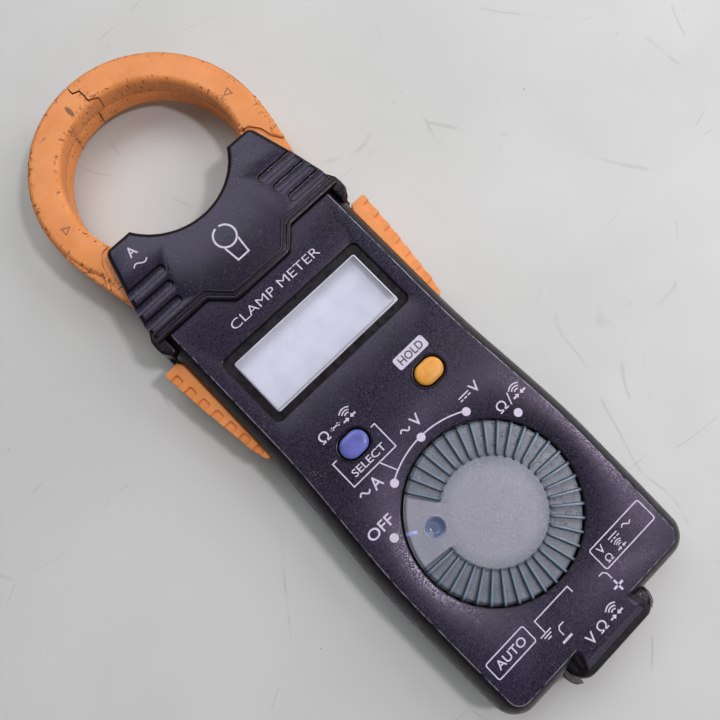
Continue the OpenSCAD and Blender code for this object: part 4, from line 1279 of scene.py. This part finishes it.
def dial_mark():
    b = Builder()
    rows = []
    out = Vector(dial_point(1, MARK_A))
    side = Vector((-out.y, out.x, 0))
    for r, z, w in ((16.6, 15.36, 0.25), (16.75, 15.46, 0.38), (17.8, 15.46, 0.4),
                    (18.6, 15.3, 0.4), (18.98, 14.95, 0.38), (19.05, 14.75, 0.3)):
        rows.append([tuple(out * r + side * (x * w) + Vector((0, 0, h)))
                     for x, h in ((-1, 14.7), (-1, z - 0.04), (-0.8, z), (0.8, z), (1, z - 0.04),
                                  (1, 14.7))])
    b.bar(rows)
    return b.finish("dial_pointer", [MARK], 40)


# ---------- buttons, display ----------


def button(s, look):
    low = box_mm("hold_button" if s > 0 else "select_button")[0].z
    b = Builder()
    x = s * BUTTON_X
    steps = [(0.1, 12.9), (0, 13.1), (0, CAP_TOP - 0.55), (0.12, CAP_TOP - 0.3), (0.42, CAP_TOP - 0.12),
             (0.95, CAP_TOP - 0.03), (1.6, CAP_TOP)]
    b.solid(stadium(x, BUTTON_Y, 6.8, 5.0, 20), steps)
    b.plate(circle(x, BUTTON_Y, 1.5, 32), low, 13, 0, 0.2)
    return b.finish("button_cap", [look], 45)


def window():
    b = Builder()
    pane = rounded_box(-17.8, 46.1, 17.8, 60.35, 0.5, 4)
    # the pane's bevelled rim takes a pale opaque colour: painted reflection
    b.solid(pane, [(0, 12.4), (0, 13.8), (0.1, 14.0), (0.32, 14.1)], [0, 1, 1])
    return b.finish("window_pane", [LENS, LENS_RIM_REFLECTION], 40)


# ---------- printing ----------


class Print:
    """Thin raised shapes on a flat face."""

    def __init__(self, z):
        self.b = Builder()
        self.z0, self.z1 = z - 0.02, z + 0.025
        self.texts = []

    def patch(self, points, *holes):
        rings = [self.b.wall(anticlockwise(weighted(points)), [(0, self.z0), (0, self.z1)])]
        for h in holes:
            h = anticlockwise(weighted(h))[::-1]
            rings.append(self.b.wall(h, [(0, self.z0), (0, self.z1)]))
        self.b.fill(*[r[0] for r in rings])
        self.b.fill(*[r[1] for r in rings])

    def line(self, points, width):
        """Open line of even width."""
        left, right = [], []
        n = len(points)
        for i, p in enumerate(points):
            a, c = points[max(i - 1, 0)], points[min(i + 1, n - 1)]
            e1 = Vector((p[0] - a[0], p[1] - a[1]))
            e2 = Vector((c[0] - p[0], c[1] - p[1]))
            e1 = e1.normalized() if e1.length > 1e-9 else e2.normalized()
            e2 = e2.normalized() if e2.length > 1e-9 else e1
            m = (Vector((-e1.y, e1.x)) + Vector((-e2.y, e2.x)))
            m = m / max(m.length_squared / 2, 0.3)
            left.append((p[0] + m.x * width / 2, p[1] + m.y * width / 2))
            right.append((p[0] - m.x * width / 2, p[1] - m.y * width / 2))
        self.patch(left + right[::-1])

    def dot(self, x, y, r):
        self.z1 += 0.012
        self.patch(circle(x, y, r, 28))
        self.z1 -= 0.012

    def frame(self, x0, y0, x1, y1, r, width):
        inner = rounded_box(x0 + width, y0 + width, x1 - width, y1 - width, max(r - width, 0.1), 4)
        self.patch(rounded_box(x0, y0, x1, y1, r, 4), inner)

    def sine(self, x, y, length, height, width):
        points = [(x + length * i / 14, y + height * math.sin(2 * math.pi * i / 14)) for i in range(15)]
        self.line(points, width)

    def dc(self, x, y, length, width):
        """Bar over three dashes."""
        self.line([(x, y + 0.35), (x + length, y + 0.35)], width)
        dash = length / 3.9
        for i in range(3):
            x0 = x + i * (length - dash) / 2
            self.line([(x0, y - 0.35), (x0 + dash, y - 0.35)], width)

    def sound(self, x, y, size):
        """Sounder: waves opening upwards, over two probe tips that meet."""
        for r in (0.3, 0.52, 0.74):
            points = [(p[0], p[1]) for p in arc(x, y, size * r, 48, 132, 8)]
            self.line(points, size * 0.1)
        for d in (-1, 1):
            tip = [(0.05, 0), (0.3, 0.2), (0.3, 0.07), (0.6, 0.07), (0.6, -0.07), (0.3, -0.07), (0.3, -0.2)]
            self.patch([(x + d * a * size, y - (0.1 - b) * size) for a, b in tip])

    def text(self, words, x0, y0, x1, y1, bold=0.0):
        """Lettering fitted to a box."""
        curve = bpy.data.curves.new("words", "FONT")
        curve.body = words
        curve.offset = bold
        curve.resolution_u = 3
        thing = add_object("words", curve)
        graph = bpy.context.evaluated_depsgraph_get()
        mesh = bpy.data.meshes.new_from_object(thing.evaluated_get(graph))
        xs = [v.co.x for v in mesh.vertices]
        ys = [v.co.y for v in mesh.vertices]
        for v in mesh.vertices:
            v.co.x = x0 + (v.co.x - min(xs)) / (max(xs) - min(xs)) * (x1 - x0)
            v.co.y = y0 + (v.co.y - min(ys)) / (max(ys) - min(ys)) * (y1 - y0)
            v.co.z = self.z1
        bpy.data.objects.remove(thing)
        self.texts.append(mesh)

    def finish(self, name, look):
        for mesh in self.texts:
            bm = bmesh.new()
            bm.from_mesh(mesh)
            made = bmesh.ops.extrude_face_region(bm, geom=bm.faces[:])
            for v in made["geom"]:
                if isinstance(v, bmesh.types.BMVert):
                    v.co.z = self.z0
            bm.to_mesh(mesh)
            bm.free()
            self.b.bm.from_mesh(mesh)
            bpy.data.meshes.remove(mesh)
        return self.b.finish(name, [look], 30)


def face_print():
    p = Print(FACE)
    for a in (-60, -30, 0, 30, 60):
        p.dot(*dial_point(21.5, a)[:2], 0.95)
    p.line([dial_point(21.7, a)[:2] for a in range(-30, 31, 3)], 0.32)
    p.text("OFF", -22.5, 13.0, -16.0, 15.4, 0.01)
    p.sine(-17.9, 21.4, 2.6, 0.5, 0.34)
    p.text("A", -14.6, 20.1, -12.2, 22.8, 0.01)
    p.sine(-2.6, 24.9, 2.4, 0.5, 0.34)
    p.text("V", 0.6, 23.6, 2.9, 26.1, 0.01)
    p.dc(11.4, 21.2, 2.9, 0.28)
    p.text("V", 14.7, 20.0, 16.9, 22.3, 0.01)
    p.text("Ω", 15.8, 13.0, 18.2, 15.3, 0.005)
    p.line([(18.9, 12.9), (19.9, 15.4)], 0.28)
    p.sound(21.8, 13.7, 2.9)
    # what the left button chooses
    p.text("Ω", -15.9, 34.6, -13.5, 36.9, 0.005)
    p.line([(-12.7, 35.7), (-10.2, 35.7)], 0.3)
    for x, d in ((-12.9, 0.8), (-10.0, -0.8)):
        p.patch([(x, 35.7), (x + d, 36.2), (x + d, 35.2)])
    p.sound(-7.9, 35.3, 2.8)
    p.line([(-16.2, 30.4), (-17.3, 30.4), (-17.3, 23.9), (-5.1, 23.9), (-5.1, 30.4), (-6.2, 30.4)], 0.28)
    p.line([(-10.0, 23.8), (-8.4, 20.2)], 0.28)
    p.text("SELECT", -15.7, 25.0, -6.7, 26.7, 0.008)
    # lower legends
    p.frame(-23.2, -24.1, -12.1, -19.8, 0.6, 0.26)
    p.text("AUTO", -21.6, -22.9, -13.7, -21.0, 0.01)
    p.frame(8.3, -24.8, 23.6, -19.4, 0.6, 0.26)
    p.text("V", 9.7, -21.9, 11.3, -20.2, 0.01)
    p.text("Ω", 9.7, -24.1, 11.4, -22.5, 0.004)
    p.dc(13.0, -21.1, 2.6, 0.24)
    p.sine(16.9, -21.1, 2.4, 0.4, 0.26)
    p.sound(14.2, -23.5, 2.0)
    p.line([(0.1, -22.6), (0.0, -21.1), (-9.8, -21.1), (-9.8, -24.2)], 0.26)
    for i, half in enumerate((1.5, 1.0, 0.5)):
        p.line([(-9.8 - half, -24.3 - 0.6 * i), (-9.8 + half, -24.3 - 0.6 * i)], 0.26)
    p.line([(-8.7, -28.2), (-6.0, -28.2)], 0.5)
    p.line([(6.6, -28.4), (9.2, -28.4)], 0.5)
    p.line([(7.9, -29.7), (7.9, -27.1)], 0.5)
    p.text("V", -4.9, -32.8, -2.8, -30.5, 0.01)
    p.text("Ω", -1.7, -32.6, 0.6, -30.4, 0.005)
    p.sound(3.4, -31.8, 2.9)
    p.text("CLAMP METER", -12.6, 65.3, 12.6, 67.4, -0.008)
    p.line([(-7.4, -27.2), (-7.4, -25.9), (-6.9, -25.3), (-5.6, -25.3)], 0.26)
    p.line([(7.9, -26.6), (7.9, -25.2), (7.3, -24.4), (6.2, -24.4)], 0.26)
    # filled label over the right button
    label = rounded_box(6.9, 34.4, 15.5, 37.4, 0.6, 4)
    p.patch(label)
    pale = p.finish("face_print", PRINT)
    d = Print(FACE + 0.03)
    d.text("HOLD", 7.9, 34.95, 14.5, 36.85, 0.012)
    dark = d.finish("hold_print", DARK_PRINT)
    return [pale, dark]


def head_print():
    """Generic clamp sign: a ring with a gap, and a handle below it."""
    p = Print(COVER_TOP)
    p.line([(x, y + 82.2) for x, y, _ in arc(0, 0, 2.6, 100, 440, 40)], 0.45)
    p.line([(-1.9, 80.1), (-1.5, 76.2), (1.5, 76.2), (1.9, 80.1)], 0.4)
    p.text("A", -18.0, 92.3, -15.9, 94.6, 0.01)
    p.sine(-19.0, 90.2, 3.6, 0.45, 0.3)
    return p.finish("head_print", PRINT)


# ---------- assembling ----------

# darker orange for the arrow's groove: painted shade
ARROW_SHADE = moulded("arrow_groove_shade", (0.3, 0.1, 0.035), 0.5)
GRIME = moulded("seam_grime", (0.06, 0.022, 0.012), 0.7, 0.02)
MARK = moulded("dial_mark", (0.33, 0.4, 0.68), 0.4)
RIB = rib_shade_and_highlight()
# darker blue for the dimple's hollow: painted shade
DIMPLE_SHADE = moulded("dimple", (0.12, 0.15, 0.27), 0.2, 0.01)
LENS = lens_look()
# pale opaque colour for the window's bevelled rim: painted reflection
LENS_RIM_REFLECTION = moulded("lens_rim_reflection", (0.72, 0.73, 0.82), 0.2, 0.003)
BLUE = moulded("button_blue", (0.13, 0.145, 0.5), 0.33, 0.006)
AMBER = moulded("button_amber", (0.76, 0.34, 0.045), 0.36, 0.006)
DARK_PRINT = moulded("dark_print", (0.05, 0.045, 0.06), 0.5)

place(joined("front_shell_all", [front_case(), nose()]), "case", "case_black", "front_case")
place(socket_block(), "case", "chip_black", "terminal_block")
dome("select")
dome("hold")
place(head_cover(), "case", "case_black", "head_cover")
place(window(), "case", "clear_lens", "display_window")
for s, side in SIDE.items():
    place(jaw_front(s), side + "_jaw", "jaw_orange", side + "_jaw_front")
    place(jaw_rear(s), side + "_jaw", "jaw_orange", side + "_jaw_rear")
    place(lever(s), side + "_lever", "jaw_orange", side + "_lever")
place(dial_knob(), "dial", "dial_grey", "dial_knob")
place(dial_mark(), "dial", "mark_blue", "dial_mark")
place(button(-1, BLUE), "select_button", "button_blue", "select_button")
place(button(1, AMBER), "hold_button", "button_amber", "hold_button")
for piece in [*face_print(), head_print()]:
    place(piece, "case", "white_plastic")

# ---------- floor and light ----------

floor_bm = bmesh.new()
bmesh.ops.create_grid(floor_bm, x_segments=8, y_segments=8, size=1.6)
floor = from_bmesh(floor_bm, "floor", [floor_look()])


def area_light(name, where, aim, size, power, colour):
    data = bpy.data.lights.new(name, "AREA")
    data.shape = "RECTANGLE"
    data.size, data.size_y = size
    data.energy = power
    data.color = colour
    lamp = add_object(name, data)
    lamp.location = where
    lamp.rotation_euler = (Vector(aim) - Vector(where)).to_track_quat("-Z", "Y").to_euler()


area_light("window_light", (0.5, 0.0, 0.34), (0, 0, 0), (0.45, 0.45), 1.75, (1.0, 0.985, 0.975))
area_light("ceiling_light", (0.12, 0.5, 0.69), (0, 0, 0), (0.7, 0.5), 3.1, (0.96, 0.975, 1.0))
area_light("fill_light", (0.0, -0.5, 0.3), (0, 0.05, 0), (0.4, 0.3), 0.5, (1.0, 0.97, 0.95))
area_light("small_lamp", (0.225, -0.172, 0.6), (0, -0.05, 0), (0.07, 0.07), 1.25, (1.0, 0.9, 0.96))
world = bpy.data.worlds.new("room")
world.use_nodes = True
world.node_tree.nodes["Background"].inputs["Color"].default_value = (0.93, 0.96, 0.95, 1)
world.node_tree.nodes["Background"].inputs["Strength"].default_value = 0.11
bpy.context.scene.world = world
bpy.context.scene.view_settings.view_transform = "Standard"
bpy.context.scene.view_settings.look = "None"
bpy.context.scene.view_settings.exposure = 0
bpy.context.scene.view_settings.gamma = 1
